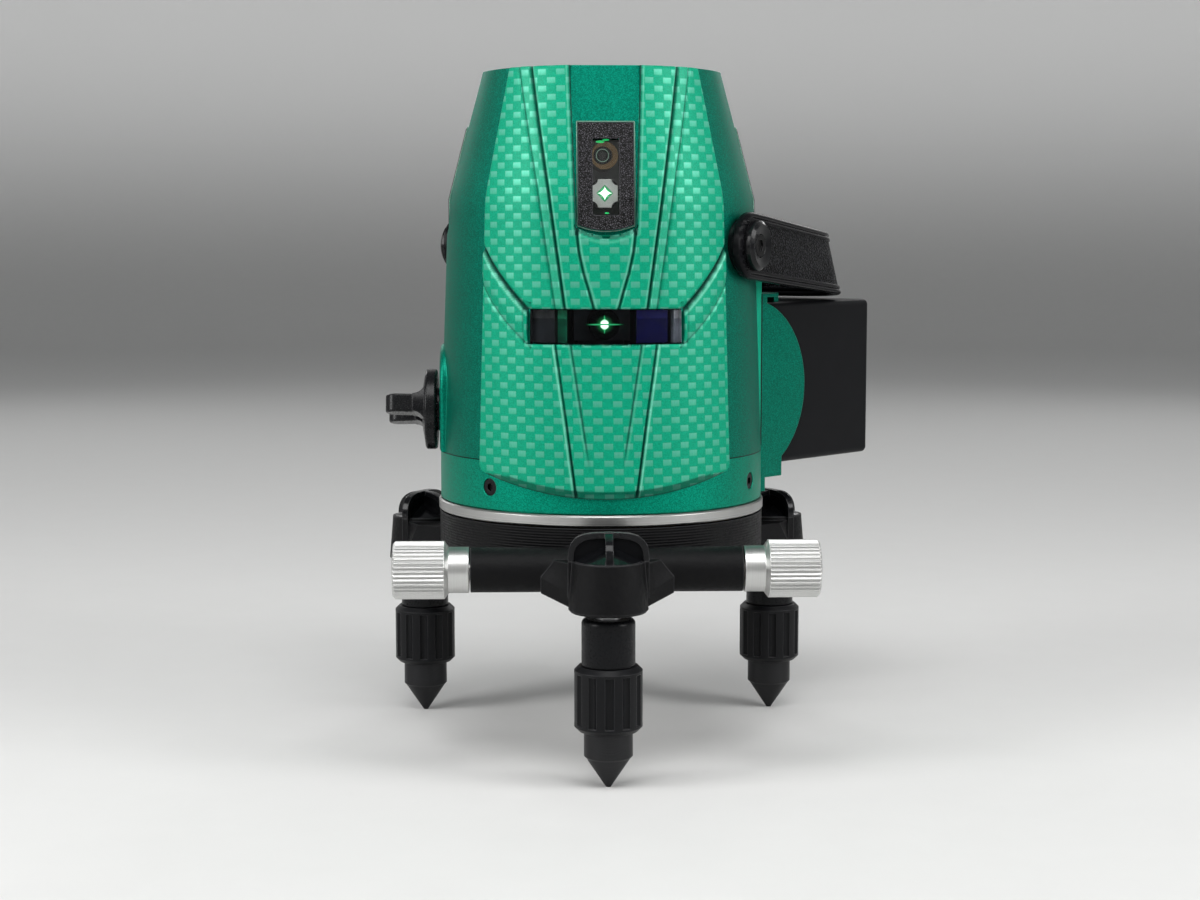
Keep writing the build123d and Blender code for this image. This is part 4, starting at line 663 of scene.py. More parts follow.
def front_skin():
    mesh = bmesh.new()
    mesh.verts.layers.float.new("groove")
    mesh.verts.layers.float.new("lip_highlight")
    in_groove, lip_highlight_layer = mesh.verts.layers.float["groove"], mesh.verts.layers.float["lip_highlight"]
    bmesh.ops.create_grid(mesh, x_segments=330, y_segments=250, size=0.5)
    for vert in mesh.verts:
        angle = 2 * vert.co.x * panel_half_angle
        foot = panel_foot(angle)
        vert.co = on_head(angle, foot + (vert.co.y + 0.5) * (top_z - foot), panel_back)
    steps = 10
    sill = [channel_low_half * (2 * i / steps - 1) for i in range(steps + 1)]
    sill_line = [(x, sill_at(x)) for x in sill]
    channel = [(-channel_top_half, top_z + 1), *sill_line, (channel_top_half, top_z + 1)]
    slit = [(-slit_half, slit_low), (slit_half, slit_low), (slit_half, slit_high), (-slit_half, slit_high)]
    ledges = [[(x, sill_at(x) - drop) for x in sill] for drop in (ledge_high, ledge_low)]
    for outline in (channel, slit + slit[:1], *ledges):
        cut_outline(mesh, [(x * mm, z * mm) for x, z in outline])
    gone = []
    for face in mesh.faces:
        x, _, z = face.calc_center_median() / mm
        in_slit = abs(x) < slit_half and slit_low < z < slit_high
        if in_slit or (z > sill_at(x) and abs(x) < channel_half(z)):
            gone.append(face)
    bmesh.ops.delete(mesh, geom=gone, context="FACES")
    face_verts = mesh.verts[:]
    rim = [edge for edge in mesh.edges if edge.is_boundary]
    # The walls round the skin's openings are painted in shade.
    for vert in verts_in(bmesh.ops.extrude_edge_only(mesh, edges=rim)["geom"]):
        vert[in_groove] = 0.9
    for vert in face_verts:
        angle, z = math.atan2(vert.co.x, -vert.co.y), vert.co.z / mm
        relief, vert[in_groove], vert[lip_highlight_layer] = panel_form(angle, z)
        vert.co = on_head(angle, z, panel_face + relief)
    return face_out(mesh)


def make_weave():
    """A film of flat tows: short bright blocks in columns, each column half a step from the next."""
    sizes = {"Column": 3.2 * mm, "Step": 5.4 * mm, "Share": 0.38}
    group, given, result = new_group("woven_film", sizes, {"Tow": "Float", "Fibre": "Float"})
    coords = place(group)
    x, y, z = split(coords)
    around, drift = calc("ARCTAN2", x, y * -1.0), z * 0.02
    column = (around * reach_of(x, y) + drift) / given["Column"]
    odd = calc("FLOORED_MODULO", calc("FLOOR", column), 2.0)
    in_column, in_step = calc("FRACT", column), calc("FRACT", z / given["Step"] + odd * 0.5)
    from_side = calc("MINIMUM", in_column, 1.0 - in_column)
    down = (1.0 - in_step) / given["Share"]
    block = ramp(from_side, 0.02, 0.08) * ramp(down, 1.08, 0.82) * ramp(down, 0.0, 0.08)
    stretched = field(group, "Mapping", {"Vector": coords, "Scale": (1.0, 1.0, 0.12)})
    strand = field(group, "TexNoise", {"Vector": stretched, "Scale": 4200.0, "Detail": 2.0})
    # Each tow is painted lighter at its head and darker towards its foot: painted shading of its curve.
    fade = ramp(down, 0.0, 1.1, 1.0, 0.55)
    feed(result.inputs["Tow"], block * fade * ramp(strand, 0.25, 0.75, 0.78, 1.12))
    feed(result.inputs["Fibre"], strand)
    return group


weave = make_weave()


def painted(tree, name):
    """What was written on the mesh under a name."""
    return field(tree, "Attribute", output="Fac", attribute_name=name)


def lacquered_weave():
    material, tree, shader = new_finish(
        "lacquered_woven_film", Coat_Weight=0.08, Coat_Roughness=0.3, Specular_IOR_Level=0.10
    )
    film = add(tree, "Group", node_tree=weave).outputs
    tow, strand = Field(film["Tow"]), Field(film["Fibre"])
    ground = blend(flake_of(tree, 0.25), (0.0005, 0.255, 0.137), (0.002, 0.355, 0.203))
    woven = blend(tow, ground, (0.09, 0.41, 0.29))
    # Lips are painted lighter and grooves darker: painted highlight and painted shade.
    lip_highlit = blend(painted(tree, "lip_highlight") * 0.75, woven, (0.20, 0.66, 0.48))
    groove_shaded = blend(painted(tree, "groove") * 0.95, lip_highlit, (0.0, 0.030, 0.022))
    surface(shader, Base_Color=groove_shaded, Metallic=ramp(tow, 0.0, 1.0, 0.12, 0.42))
    surface(shader, Roughness=ramp(tow, 0.0, 1.0, 0.46, 0.40))
    bump(shader, tow * 0.7 + strand * 0.3, 0.012, 0.6)
    return material


panel_skin = new_piece("front_panel_skin", front_skin(), lacquered_weave(), "head")
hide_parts("front_panel")


# Window bezels and panes: black grained plates in the four channels, each over a bent clear pane.
# Moulded plastic with a coarse leather grain, stuck down; the panes are clear acrylic.
def make_leather():
    """Small raised pebbles with fine creases between them, from their size."""
    group, given, result = new_group("leather_grain", {"Size": 0.9 * mm}, {"Pebble": "Float"})
    coords, scale = place(group), 1.0 / given["Size"]
    bent = field(group, "TexNoise", {"Vector": coords, "Scale": scale, "Detail": 2.0}, "Color")
    bent = field(group, "VectorMath", {0: bent, "Scale": 0.5 * mm}, operation="SCALE")
    moved = field(group, "VectorMath", {0: coords, 1: bent}, operation="ADD")
    values = {"Vector": moved, "Scale": scale}
    inside = field(group, "TexVoronoi", values, "Distance", feature="DISTANCE_TO_EDGE")
    feed(result.inputs["Pebble"], ramp(inside, 0.0, 0.32))
    return group


leather = make_leather()


def pebbles_of(tree, size):
    return field(tree, "Group", {"Size": size * mm}, node_tree=leather)


def bezel_black():
    material, tree, shader = new_finish("bezel_grained_black", Specular_IOR_Level=0.2)
    edge, normal = edges_of(tree, 0.4)
    pebble, fine = pebbles_of(tree, 0.62), grain_of(tree, 0.25)
    tone = blend(ramp(pebble, 0.3, 1.0), (0.0005, 0.0005, 0.0006), (0.075, 0.072, 0.082))
    # Along the edges the grain is painted lighter: a painted highlight.
    tone = blend(edge, tone, (0.0975, 0.0936, 0.1066))
    surface(shader, Base_Color=tone, Roughness=over_grain(fine, 0.28, 0.40))
    bump(shader, pebble * 0.85 + fine * 0.15, 0.22, 1.0, normal)
    return material


dress(bezel_black(), "window_bezels")
channel_depth = 1.4


def channel_floor(z):
    lean = (kink_r - top_r) / (top_z - kink_z)
    return kink_r - channel_depth - max(0.0, z - kink_z) * lean


def whole(mesh):
    return mesh.verts[:] + mesh.edges[:] + mesh.faces[:]


def round_the_head(mesh):
    """Repeat what was made for the front on the other three sides."""
    first = whole(mesh)
    for quarter in (1, 2, 3):
        swing(mesh, quarter * 90, "Z", verts_in(bmesh.ops.duplicate(mesh, geom=first)["geom"]))
    return mesh


def pocket_rims():
    """Narrow ledges of the housing that stand up round each bezel."""
    mesh = bmesh.new()
    side, low, high, thick, bow = 9.12, 115.6, 150.35, 0.34, 1.8
    front, back = 0.75, -0.2
    upright, upright_z = (thick, 1, high - low - 2), (low + high) / 2 + 1
    level = (2 * side, 1, thick)
    for size, at in ((upright, (-side, 0, upright_z)), (level, (0, 0, high)),
                     (upright, (side, 0, upright_z)), (level, (0, 0, low))):
        box_at(mesh, size, at)
    long_edges = [edge for edge in mesh.edges if abs(edge.verts[0].co.x - edge.verts[1].co.x) > side]
    bmesh.ops.subdivide_edges(mesh, edges=long_edges, cuts=11, use_grid_fill=True)
    bmesh.ops.bisect_plane(mesh, geom=whole(mesh), dist=1e-5, plane_co=(0, 0, kink_z), plane_no=(0, 0, 1))
    for vert in mesh.verts:
        x, y, z = vert.co
        z += bow * (x / side) ** 2 if z < low + thick else 0.0
        vert.co = Vector((x, -channel_floor(z) - (front if y < 0 else back), z)) * mm
    return round_the_head(face_out(mesh))


# The rims are painted a pale green: a painted highlight along the ledges.
rim_highlight_paint = green_paint("green_pocket_rim_highlight", (0.07, 0.20, 0.145), (0.14, 0.29, 0.225), (0.26, 0.38, 0.32))
new_piece("bezel_pocket_rims", pocket_rims(), rim_highlight_paint, "head")


def clear_sheet(name, tint, roughness=0.0, bends=1.45):
    """Glass or acrylic that lets the lamps through to what is behind it, with a little dust on its face."""
    material, tree, shader = new_finish(name, Transmission_Weight=1.0, IOR=bends)
    dust, dusty = grain_of(tree, 3, 0.7), [min(1.0, 1.08 * c) for c in tint]
    rough = ramp(dust, 0.45, 0.9, roughness, roughness + 0.02)
    surface(shader, Base_Color=blend(dust, tint, dusty), Roughness=rough)
    through = field(tree, "BsdfTransparent", {"Color": tint})
    shadow = field(tree, "LightPath", output="Is Shadow Ray")
    mixed = field(tree, "MixShader", {0: shadow, 1: Field(shader.outputs[0]), 2: through})
    feed(tree.nodes["Material Output"].inputs["Surface"], mixed)
    return material


dress(clear_sheet("clear_pane", (0.94, 0.97, 0.95)), "vertical_windows")


# Lasers: a brass barrel and blackened line lasers with notched aluminium plates, screwed to the pendulum.
# The lenses are lit: a four-pointed flare on each plate, and a glowing cone lens behind the curved window.
def two_tone(name, size, dull, bright, smooth, rough, depth=0.0, strength=1.0, edge_highlight=None, **constants):
    """A finish of two tones wandering over a grain of one size, with a painted highlight on its edges if
    given.
    """
    material, tree, shader = new_finish(name, **constants)
    fine, normal = grain_of(tree, size), None
    tone = blend(fine, dull, bright)
    if edge_highlight:
        edge, normal = edges_of(tree, 0.3)
        tone = blend(edge, tone, edge_highlight)
    surface(shader, Base_Color=tone, Roughness=over_grain(fine, smooth, rough))
    if depth:
        bump(shader, fine, depth, strength, normal)
    return material


milled_tones = (0.46, 0.46, 0.47), (0.62, 0.62, 0.63)
matt_aluminium = two_tone(
    "milled_matt_aluminium", 0.5, *milled_tones, smooth=0.38, rough=0.55, depth=0.01, strength=0.6,
    edge_highlight=(0.75, 0.75, 0.75), Metallic=1.0
)
dress(matt_aluminium, "chassis", "gimbal_ring", "pendulum", "lock_lifter")
line_lens_z, line_lens_y = 127.8, -38.0
point_lens_z, point_lens_x, point_lens_y = 139.9, -0.7, -36.0
cone_lens_z, cone_lens_y = 85.6, -36.0


def lit_metal(name, dull, bright, power, starts_at):
    """Dull metal that glows from a distance off the upright axis onwards: painted light for stray laser
    light.
    """
    material, tree, shader = new_finish(name, Metallic=0.5, Emission_Strength=power)
    x, y, _ = split(place(tree))
    fine = grain_of(tree, 0.5)
    edge, normal = edges_of(tree, 0.3)
    tone = blend(fine, dull, bright)
    in_front = ramp(reach_of(x, y), (starts_at - 0.3) * mm, starts_at * mm)
    surface(shader, Base_Color=tone, Roughness=over_grain(fine, 0.4, 0.55))
    surface(shader, Emission_Color=blend(in_front, (0, 0, 0), tone))
    bump(shader, fine, 0.01, 0.6, normal)
    return material


holder_tones = (0.42, 0.44, 0.42), (0.60, 0.62, 0.60)
barrel_tones = (0.11, 0.065, 0.025), (0.20, 0.125, 0.05)
# The holders, the barrel and the lens band glow a little: painted light.
holder_metal = lit_metal("lit_holder_aluminium", *holder_tones, power=0.3, starts_at=36.8)
barrel_brass = lit_metal("lit_barrel_brass", *barrel_tones, power=0.3, starts_at=35.4)
dress(barrel_brass, "point_laser")
dress(black_steel, "vertical_lasers", "horizontal_laser", "plumb_laser")


def glow(name, core, rim, centre_z, power, reach):
    """Light of one colour at its centre and another at its rim, from its height and reach in millimetres."""
    material, tree, shader = new_finish(name, Emission_Strength=power, Roughness=0.3)
    x, y, z = split(place(tree))
    far = reach_of(calc("MINIMUM", abs(x), abs(y)), z - centre_z * mm)
    colour = blend(ramp(far, reach * 0.35 * mm, reach * mm), core, rim)
    surface(shader, Emission_Color=colour, Base_Color=colour)
    return material


def set_at(mesh, y, z, x=0.0):
    shift(mesh, (x * mm, y * mm, z * mm))
    return mesh


def face_disc(mesh, radius, depth, segments):
    """A short cylinder that faces the front, with its face at the origin."""
    radius, depth, turn = radius * mm, depth * mm, Matrix.Rotation(math.radians(90), 4, "X")
    made = bmesh.ops.create_cone(
        mesh, cap_ends=True, segments=segments, radius1=radius, radius2=radius, depth=depth, matrix=turn
    )["verts"]
    shift(mesh, (0, depth / 2, 0), made)
    return made


def star_reach(lean, pinch=0.62):
    """How far a four-pointed star reaches at an angle."""
    return (abs(math.cos(lean)) ** pinch + abs(math.sin(lean)) ** pinch) ** (-1 / pinch)


def notched_reach(lean, wide=4.2, tall=4.5, hollow=2.0):
    """How far a rectangle with hollow corners reaches at an angle."""
    ray, corner = Vector((abs(math.cos(lean)), abs(math.sin(lean)))), Vector((wide, tall))
    reach = min(wide / max(ray.x, 1e-6), tall / max(ray.y, 1e-6))
    along = ray.dot(corner)
    depth = along**2 - corner.length_squared + hollow**2
    return min(reach, along - math.sqrt(depth)) if depth > 0 else reach


def on_line_lasers(radius, depth, segments, proud, reach_at=None, squat=1.0):
    """A flat plate before each line lens, drawn to a reach of its own at each angle."""
    mesh = bmesh.new()
    for vert in face_disc(mesh, radius, depth, segments):
        reach = reach_at(math.atan2(vert.co.z, vert.co.x)) if reach_at else 1.0
        vert.co = (vert.co.x * reach, vert.co.y, vert.co.z * reach * squat)
    return round_the_head(set_at(mesh, line_lens_y - proud, line_lens_z))


flare_light = glow("line_lens_flare", (1, 1, 0.97), (0.3, 1.0, 0.55), line_lens_z, power=1.6, reach=2.9)
halo_light = glow("line_lens_halo", (0.03, 0.45, 0.15), (0.01, 0.20, 0.07), line_lens_z, power=0.8, reach=2.3)
plates = on_line_lasers(radius=1.0, depth=0.4, segments=96, proud=0.12, reach_at=notched_reach)
new_piece("line_holder_plates", plates, holder_metal, "pendulum")
stars = on_line_lasers(radius=2.45, depth=0.4, segments=64, proud=0.4, reach_at=star_reach, squat=0.88)
new_piece("line_lens_flares", stars, flare_light, "pendulum")
diamonds = on_line_lasers(radius=2.7, depth=0.3, segments=4, proud=0.2)
new_piece("line_lens_halos", diamonds, halo_light, "pendulum")


def ring_mesh(outer, inner, depth, chamfer):
    """A turned ring that faces the front."""
    mesh = bmesh.new()
    corners = ((inner, 0), (outer - chamfer, 0), (outer, chamfer), (outer, depth), (inner, depth))
    loop = [mesh.verts.new((radius * mm, y * mm, 0)) for radius, y in corners]
    edges = [mesh.edges.new((a, b)) for a, b in zip(loop, loop[1:] + loop[:1])]
    bmesh.ops.spin(
        mesh, geom=loop + edges, cent=(0, 0, 0), axis=(0, 1, 0), angle=2 * math.pi, steps=56, use_merge=True
    )
    return face_out(mesh)


def lens_dome(radius, rise):
    mesh = bmesh.new()
    bmesh.ops.create_uvsphere(mesh, u_segments=40, v_segments=20, radius=radius * mm)
    stretch(mesh, (1, rise / radius, 1))
    return mesh


def at_point_lens(mesh, proud):
    return set_at(mesh, point_lens_y - proud, point_lens_z, point_lens_x)


lens_black = moulded_black("lens_ring_black", rough=0.4, grain=1.0, depth=0.004, edge=0.06, shine=0.06)
outer_ring = at_point_lens(ring_mesh(outer=2.9, inner=1.75, depth=0.9, chamfer=0.3), 0.6)
new_piece("point_lens_ring", outer_ring, lens_black, "pendulum")
band_metal = lit_metal("lit_lens_band", (0.12, 0.19, 0.15), (0.18, 0.28, 0.22), power=0.9, starts_at=35.4)
bright_ring = at_point_lens(ring_mesh(outer=2.1, inner=1.9, depth=0.2, chamfer=0.05), 0.75)
new_piece("point_lens_band", bright_ring, band_metal, "pendulum")
lens_tones = (0.002, 0.002, 0.003), (0.005, 0.004, 0.007)
lens_glass = two_tone(
    "dark_coated_lens", 2.0, *lens_tones, smooth=0.3, rough=0.36, IOR=1.6, Coat_Weight=0.2, Coat_Roughness=0.1
)
new_piece("point_lens", at_point_lens(lens_dome(1.8, 0.5), 0.1), lens_glass, "pendulum")


def cone_lens():
    mesh = bmesh.new()
    face_disc(mesh, radius=1.5, depth=1.2, segments=6)
    rim = [e for e in mesh.edges if e.calc_face_angle(0) > 0.5]
    bmesh.ops.bevel(mesh, geom=rim, offset=0.3 * mm, affect="EDGES", segments=2, profile=0.5, material=-1)
    stretch(mesh, (1, 1, 1.25))
    return set_at(mesh, cone_lens_y - 0.9, cone_lens_z)


def blobs(*spots):
    """Small flat patches of light, each given its place across, out and up, and its half width and height."""
    mesh = bmesh.new()
    for x, y, z, wide, tall in spots:
        made = bmesh.ops.create_uvsphere(mesh, u_segments=20, v_segments=10, radius=1.0)["verts"]
        stretch(mesh, (wide * mm, 0.08 * mm, tall * mm), made)
        shift(mesh, (x * mm, y * mm, z * mm), made)
    return mesh


cone_light = glow("cone_lens_glow", (1, 1, 0.95), (0.02, 0.40, 0.10), cone_lens_z, power=4.0, reach=1.9)
streak_light = glow("cone_lens_streak", (0.05, 0.75, 0.25), (0, 0.02, 0.006), cone_lens_z, power=1.2, reach=7)
spill_light = glow("cone_lens_spill", (0.01, 0.3, 0.08), (0, 0.004, 0.001), cone_lens_z, power=0.9, reach=3)
glint_light = glow("laser_glints", (0.03, 0.75, 0.2), (0.01, 0.5, 0.12), 0.0, power=0.8, reach=1.0)
streaks = blobs((0, -37.0, cone_lens_z, 6.5, 0.25), (0, -36.6, cone_lens_z, 0.3, 3.0))
spill = blobs((0, -36.4, cone_lens_z, 3.4, 3.0))
# The glints are glowing patches inside the front pane: painted reflections of the lasers in the glass.
glints = blobs((-1.7, -44.2, 143.9, 1.4, 0.4), (0.1, -44.0, 144.5, 1.1, 0.3), (0.3, -48.9, 121.4, 0.7, 0.25))
new_piece("cone_lens_glowing", cone_lens(), cone_light, "pendulum")
new_piece("cone_lens_streak", streaks, streak_light, "pendulum")
new_piece("cone_lens_spill", spill, spill_light, "pendulum")
new_piece("laser_glints", glints, glint_light, "head")


# Curved window: a dark tinted strip of acrylic let into the slot across the front panel.
# Behind its ends stand a grey block and strip, a green reflector and a blue filter plate, glued to its back.
dress(clear_sheet("dark_tinted_pane", (0.40, 0.42, 0.46), bends=1.2), "horizontal_window")
pane_back, plate_low, plate_high = 51.5, 80.3, 90.7


def window_plate(left, right, depth):
    """A thin plate bent to the back of the curved window."""
    mesh = bmesh.new()
    bmesh.ops.create_grid(mesh, x_segments=8, y_segments=1, size=0.5)
    for vert in mesh.verts:
        angle = math.asin((left + (vert.co.x + 0.5) * (right - left)) / pane_back)
        z = plate_low + (vert.co.y + 0.5) * (plate_high - plate_low)
        vert.co = Vector((pane_back * math.sin(angle), -pane_back * math.cos(angle), z)) * mm
    for vert in verts_in(bmesh.ops.extrude_face_region(mesh, geom=mesh.faces[:], use_keep_orig=True)["geom"]):
        vert.co.x, vert.co.y = (Vector(vert.co.xy) * (1 - depth / pane_back))
    return face_out(mesh)


def plain_plastic(name, dull, bright):
    material, tree, shader = new_finish(name, Specular_IOR_Level=0.3)
    cloud = grain_of(tree, 2.2, 0.7)
    tone = blend(over_grain(cloud, 0.0, 1.0), dull, bright)
    surface(shader, Base_Color=tone, Roughness=over_grain(cloud, 0.39, 0.51))
    return material


block_grey = plain_plastic("window_block_grey", (0.02, 0.021, 0.019), (0.06, 0.062, 0.057))
strip_grey = plain_plastic("window_strip_grey", (0.55, 0.55, 0.56), (0.85, 0.85, 0.86))
reflector_green = plain_plastic("window_reflector_green", (0.0, 0.12, 0.05), (0.005, 0.24, 0.10))
filter_blue = plain_plastic("window_filter_blue", (0.003, 0.003, 0.07), (0.008, 0.008, 0.13))
new_piece("window_end_block", window_plate(-24.3, -16.2, depth=3.0), block_grey, "head")
new_piece("window_end_strip", window_plate(21.6, 24.3, depth=2.0), strip_grey, "head")
new_piece("window_reflector", window_plate(-15.2, -12.3, depth=0.6), reflector_green, "head")
new_piece("window_filter", window_plate(9.6, 19.6, depth=0.6), filter_blue, "head")


# Boards and cells: the keypad and main boards, and four cells in the battery.
# The boards are glass fibre under green solder mask; the cells are steel cans shrink-wrapped in blue.
def solder_mask():
    material, tree, shader = new_finish("solder_mask", Coat_Weight=0.3, Coat_Roughness=0.2)
    values = {"Vector": place(tree), "Scale": 260.0}
    tracks = field(tree, "TexVoronoi", values, "Distance", distance="MANHATTAN")
    copper = ramp(tracks, 0.34, 0.40)
    tone = blend(copper, (0.004, 0.06, 0.025), (0.01, 0.13, 0.05))
    surface(shader, Base_Color=tone, Roughness=ramp(copper, 0.0, 1.0, 0.34, 0.44))
    bump(shader, copper, 0.03)
    return material


cell_tones = (0.01, 0.05, 0.20), (0.02, 0.09, 0.30)
shrink_wrap = two_tone("blue_shrink_wrap", 6, *cell_tones, smooth=0.25, rough=0.36, depth=0.1, strength=0.5)
dress(solder_mask(), "keypad_board", "main_board")
dress(shrink_wrap, "battery_cells")


# Top panel, keys and vial: a black plate let into the rim, four round rubber keys and a bubble vial.
# The keys carry plain printed marks, and the vial a black circle, a yellow-green fluid and its bubble.
panel_black = moulded_black("top_panel_black", rough=0.42, grain=0.35, depth=0.03)
dress(panel_black, "top_panel", "vial_cup")
key_nodes = ("power_button", "vertical_button", "horizontal_button", "pulse_button")
key_tones = (0.045, 0.047, 0.05), (0.06, 0.062, 0.066)
# The key rubber's lighter edges are a painted highlight.
key_rubber = two_tone(
    "grey_key_rubber", 0.2, *key_tones, smooth=0.6, rough=0.72, depth=0.02, strength=0.6,
    edge_highlight=(0.08, 0.08, 0.085), Specular_IOR_Level=0.35
)
dress(key_rubber, *key_nodes)
print_tones = (0.62, 0.62, 0.60), (0.74, 0.74, 0.72)
print_white = two_tone("white_print", 0.15, *print_tones, smooth=0.5, rough=0.62, Specular_IOR_Level=0.4)
mark_rise, mark_half, mark_width = 0.06 * mm, 2.0 * mm, 0.5 * mm


def bar(mesh, length, width, offset=(0, 0, 0)):
    box_at(mesh, (length, width, 2 * mark_rise), offset)


def arc(mesh, radius, width, start, sweep):
    """A flat printed arc."""
    corners = ((-0.5, -1), (0.5, -1), (0.5, 1), (-0.5, 1))
    loop = [mesh.verts.new((radius + dx * width, 0, dz * mark_rise)) for dx, dz in corners]
    face = mesh.faces.new(loop)
    swing(mesh, start, "Z", loop)
    turn = math.radians(sweep)
    bmesh.ops.spin(mesh, geom=[face], cent=(0, 0, 0), axis=(0, 0, 1), angle=turn, steps=20, use_merge=False)


def key_mark(node):
    mesh = bmesh.new()
    if node == "power_button":
        arc(mesh, 1.7 * mm, 0.45 * mm, 125, 290)
        bar(mesh, 0.45 * mm, 1.9 * mm, (0, 1.2 * mm, 0))
    elif node == "vertical_button":
        bar(mesh, mark_width, 2 * mark_half)
    elif node == "horizontal_button":
        bar(mesh, 2 * mark_half, mark_width)
    else:
        for step in (-1, 0, 1):
            bar(mesh, mark_width, 2.4 * mm, (step * 1.3 * mm, 0, 0))
    face_out(mesh)
    low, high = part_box(node)
    shift(mesh, ((low.x + high.x) / 2, (low.y + high.y) / 2, high.z))
    return mesh


for key_node in key_nodes:
    new_piece(key_node + "_mark", key_mark(key_node), print_white, key_node)

dress(clear_sheet("vial_fluid", (0.62, 0.86, 0.12), 0.02), "vial_glass")
vial_low, vial_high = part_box("vial_glass")
vial_middle = (vial_low + vial_high) / 2


def vial_circle():
    mesh = ring_mesh(outer=3.4, inner=3.1, depth=0.1, chamfer=0.02)
    swing(mesh, 90, "X")
    shift(mesh, (vial_middle.x, vial_middle.y, vial_high.z + 0.08 * mm))
    return mesh


def vial_bubble():
    mesh = bmesh.new()
    bmesh.ops.create_uvsphere(mesh, u_segments=32, v_segments=16, radius=2.4 * mm)
    stretch(mesh, (1, 1, 0.4))
    shift(mesh, (vial_middle.x, vial_middle.y, vial_high.z - 1.1 * mm))
    return mesh


air_tones = (0.93, 0.98, 0.75), (0.97, 1.0, 0.85)
bubble_air = two_tone("bubble_air", 2, *air_tones, smooth=0.0, rough=0.03, Transmission_Weight=1.0, IOR=1.1)
new_piece("vial_circle", vial_circle(), panel_black, "head")
new_piece("vial_bubble", vial_bubble(), bubble_air, "head")


# Lock knob: a disc with two ears on the left side, which lifts the pendulum off its bearings.
# Moulded in gloss black plastic, pressed on the lock shaft.
knob_black = moulded_black("knob_gloss_black", rough=0.28, grain=0.9, depth=0.012, edge=0.5, shine=0.22)
dress(knob_black, "lock_knob")


# Handle: a bail of soft black plastic with a leather grain between double rims, on two pivots.
# Dished caps cover the pivot screws, and bosses keep it off the housing. It lies back over the battery.
handle_angle, pivot_z = math.radians(60.0), 111.0
strap_inner, strap_t, strap_w, strap_reach, strap_bend = 53.6, 3.6, 22.0, 91.0, 24.0
strap_droop, strap_flare = math.radians(5.0), 2.2
mid_reach, mid_half, mid_bend = strap_reach - strap_t / 2, strap_inner + strap_t / 2, strap_bend - strap_t / 2
bar_half, bend_length = mid_half - mid_bend, mid_bend * math.pi / 2


def strap_point(along, over, out):
    """A point of the strap, from its place along the strap, over its width and out from its middle."""
    side, far = (1 if along >= 0 else -1), abs(along)
    if far < bar_half:
        x, y = mid_reach + out, far
    elif far < bar_half + bend_length:
        lean = (far - bar_half) / mid_bend
        x = mid_reach - mid_bend + (mid_bend + out) * math.cos(lean)
        y = bar_half + (mid_bend + out) * math.sin(lean)
    else:
        x, y = mid_reach - mid_bend - (far - bar_half - bend_length), mid_half + out
    share = min(1.0, max(0.0, (x - strap_w / 2) / (mid_reach - mid_bend - strap_w / 2)))
    splay = strap_flare * over / (strap_w / 2) * share
    x -= splay
    y -= splay * min(1.0, y / mid_half)
    low = Matrix.Rotation(strap_droop, 4, "Y") @ Vector((x, side * y, over))
    turned = Matrix.Rotation(handle_angle, 4, "Z") @ low
    return (turned + Vector((0, 0, pivot_z))) * mm


def strap_mesh():
    half_length, half_w = bar_half + bend_length + (mid_reach - mid_bend), strap_w / 2
    mesh = bmesh.new()
    mesh.verts.layers.float.new("sunk")
    in_panel = mesh.verts.layers.float["sunk"]
    bmesh.ops.create_grid(mesh, x_segments=230, y_segments=88, size=0.5)
    stretch(mesh, (2 * (half_length + half_w), strap_w, 1))
    facets = 24
    for end in (-1, 1):
        for i in range(facets):
            lean = math.pi * (i + 0.5) / facets - math.pi / 2
            normal = Vector((end * math.cos(lean), math.sin(lean), 0))
            point = Vector((end * half_length, 0, 0)) + normal * half_w
            bmesh.ops.bisect_plane(
                mesh, geom=whole(mesh), dist=1e-5, plane_co=point, plane_no=normal, clear_outer=True
            )
    lifted = bmesh.ops.extrude_face_region(mesh, geom=mesh.faces[:], use_keep_orig=True)["geom"]
    outside = set(verts_in(lifted))
    sunk_inset, sunk_slope, sunk_depth = 2.9, 0.4, 0.6
    groove_inset, groove_half, groove_depth = 1.75, 0.3, 0.45
    edge_round = 0.8
    for vert in mesh.verts:
        along, over, _ = vert.co
        past = max(0.0, abs(along) - half_length)
        inset = half_w - math.hypot(past, over)
        vert[in_panel] = ease((inset - sunk_inset) / sunk_slope)
        relief = sunk_depth * vert[in_panel]
        relief += groove_depth * swell(inset - groove_inset, groove_half)
        relief += edge_round * rounding(inset, edge_round)
        out = (strap_t / 2 - relief) * (1 if vert in outside else -1)
        vert.co = strap_point(along, over, out)
    return face_out(mesh)


def strap_leather():
    """Leather grain in the sunk middle, and smooth rims that catch the light."""
    material, tree, shader = new_finish("strap_leather_black", Specular_IOR_Level=0.06)
    pebble, fine, sunk = pebbles_of(tree, 1.1), grain_of(tree, 0.25), painted(tree, "sunk")
    # The pebbles' crowns are painted lighter and their creases darker: painted highlight and shade on the
    # grain.
    grain_light_and_shade = blend(ramp(pebble, 0.2, 1.0), (0.0003, 0.0003, 0.0004), (0.028, 0.029, 0.033))
    smooth = blend(fine, (0.004, 0.004, 0.005), (0.007, 0.007, 0.008))
    shine, rim_shine = over_grain(fine, 0.40, 0.48) - pebble * 0.08, over_grain(fine, 0.20, 0.26)
    surface(shader, Base_Color=blend(sunk, smooth, grain_light_and_shade), Roughness=ramp(sunk, 0.0, 1.0, rim_shine, shine))
    bump(shader, pebble * sunk, 0.3)
    return material


strap = new_piece("handle_strap_grained", strap_mesh(), strap_leather(), "handle")
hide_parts("handle_strap")
cap_black = moulded_black("cap_gloss_black", rough=0.2, grain=0.5, depth=0.012, edge=0.4, shine=0.2)
dress(cap_black, "handle_caps", "handle_bosses")


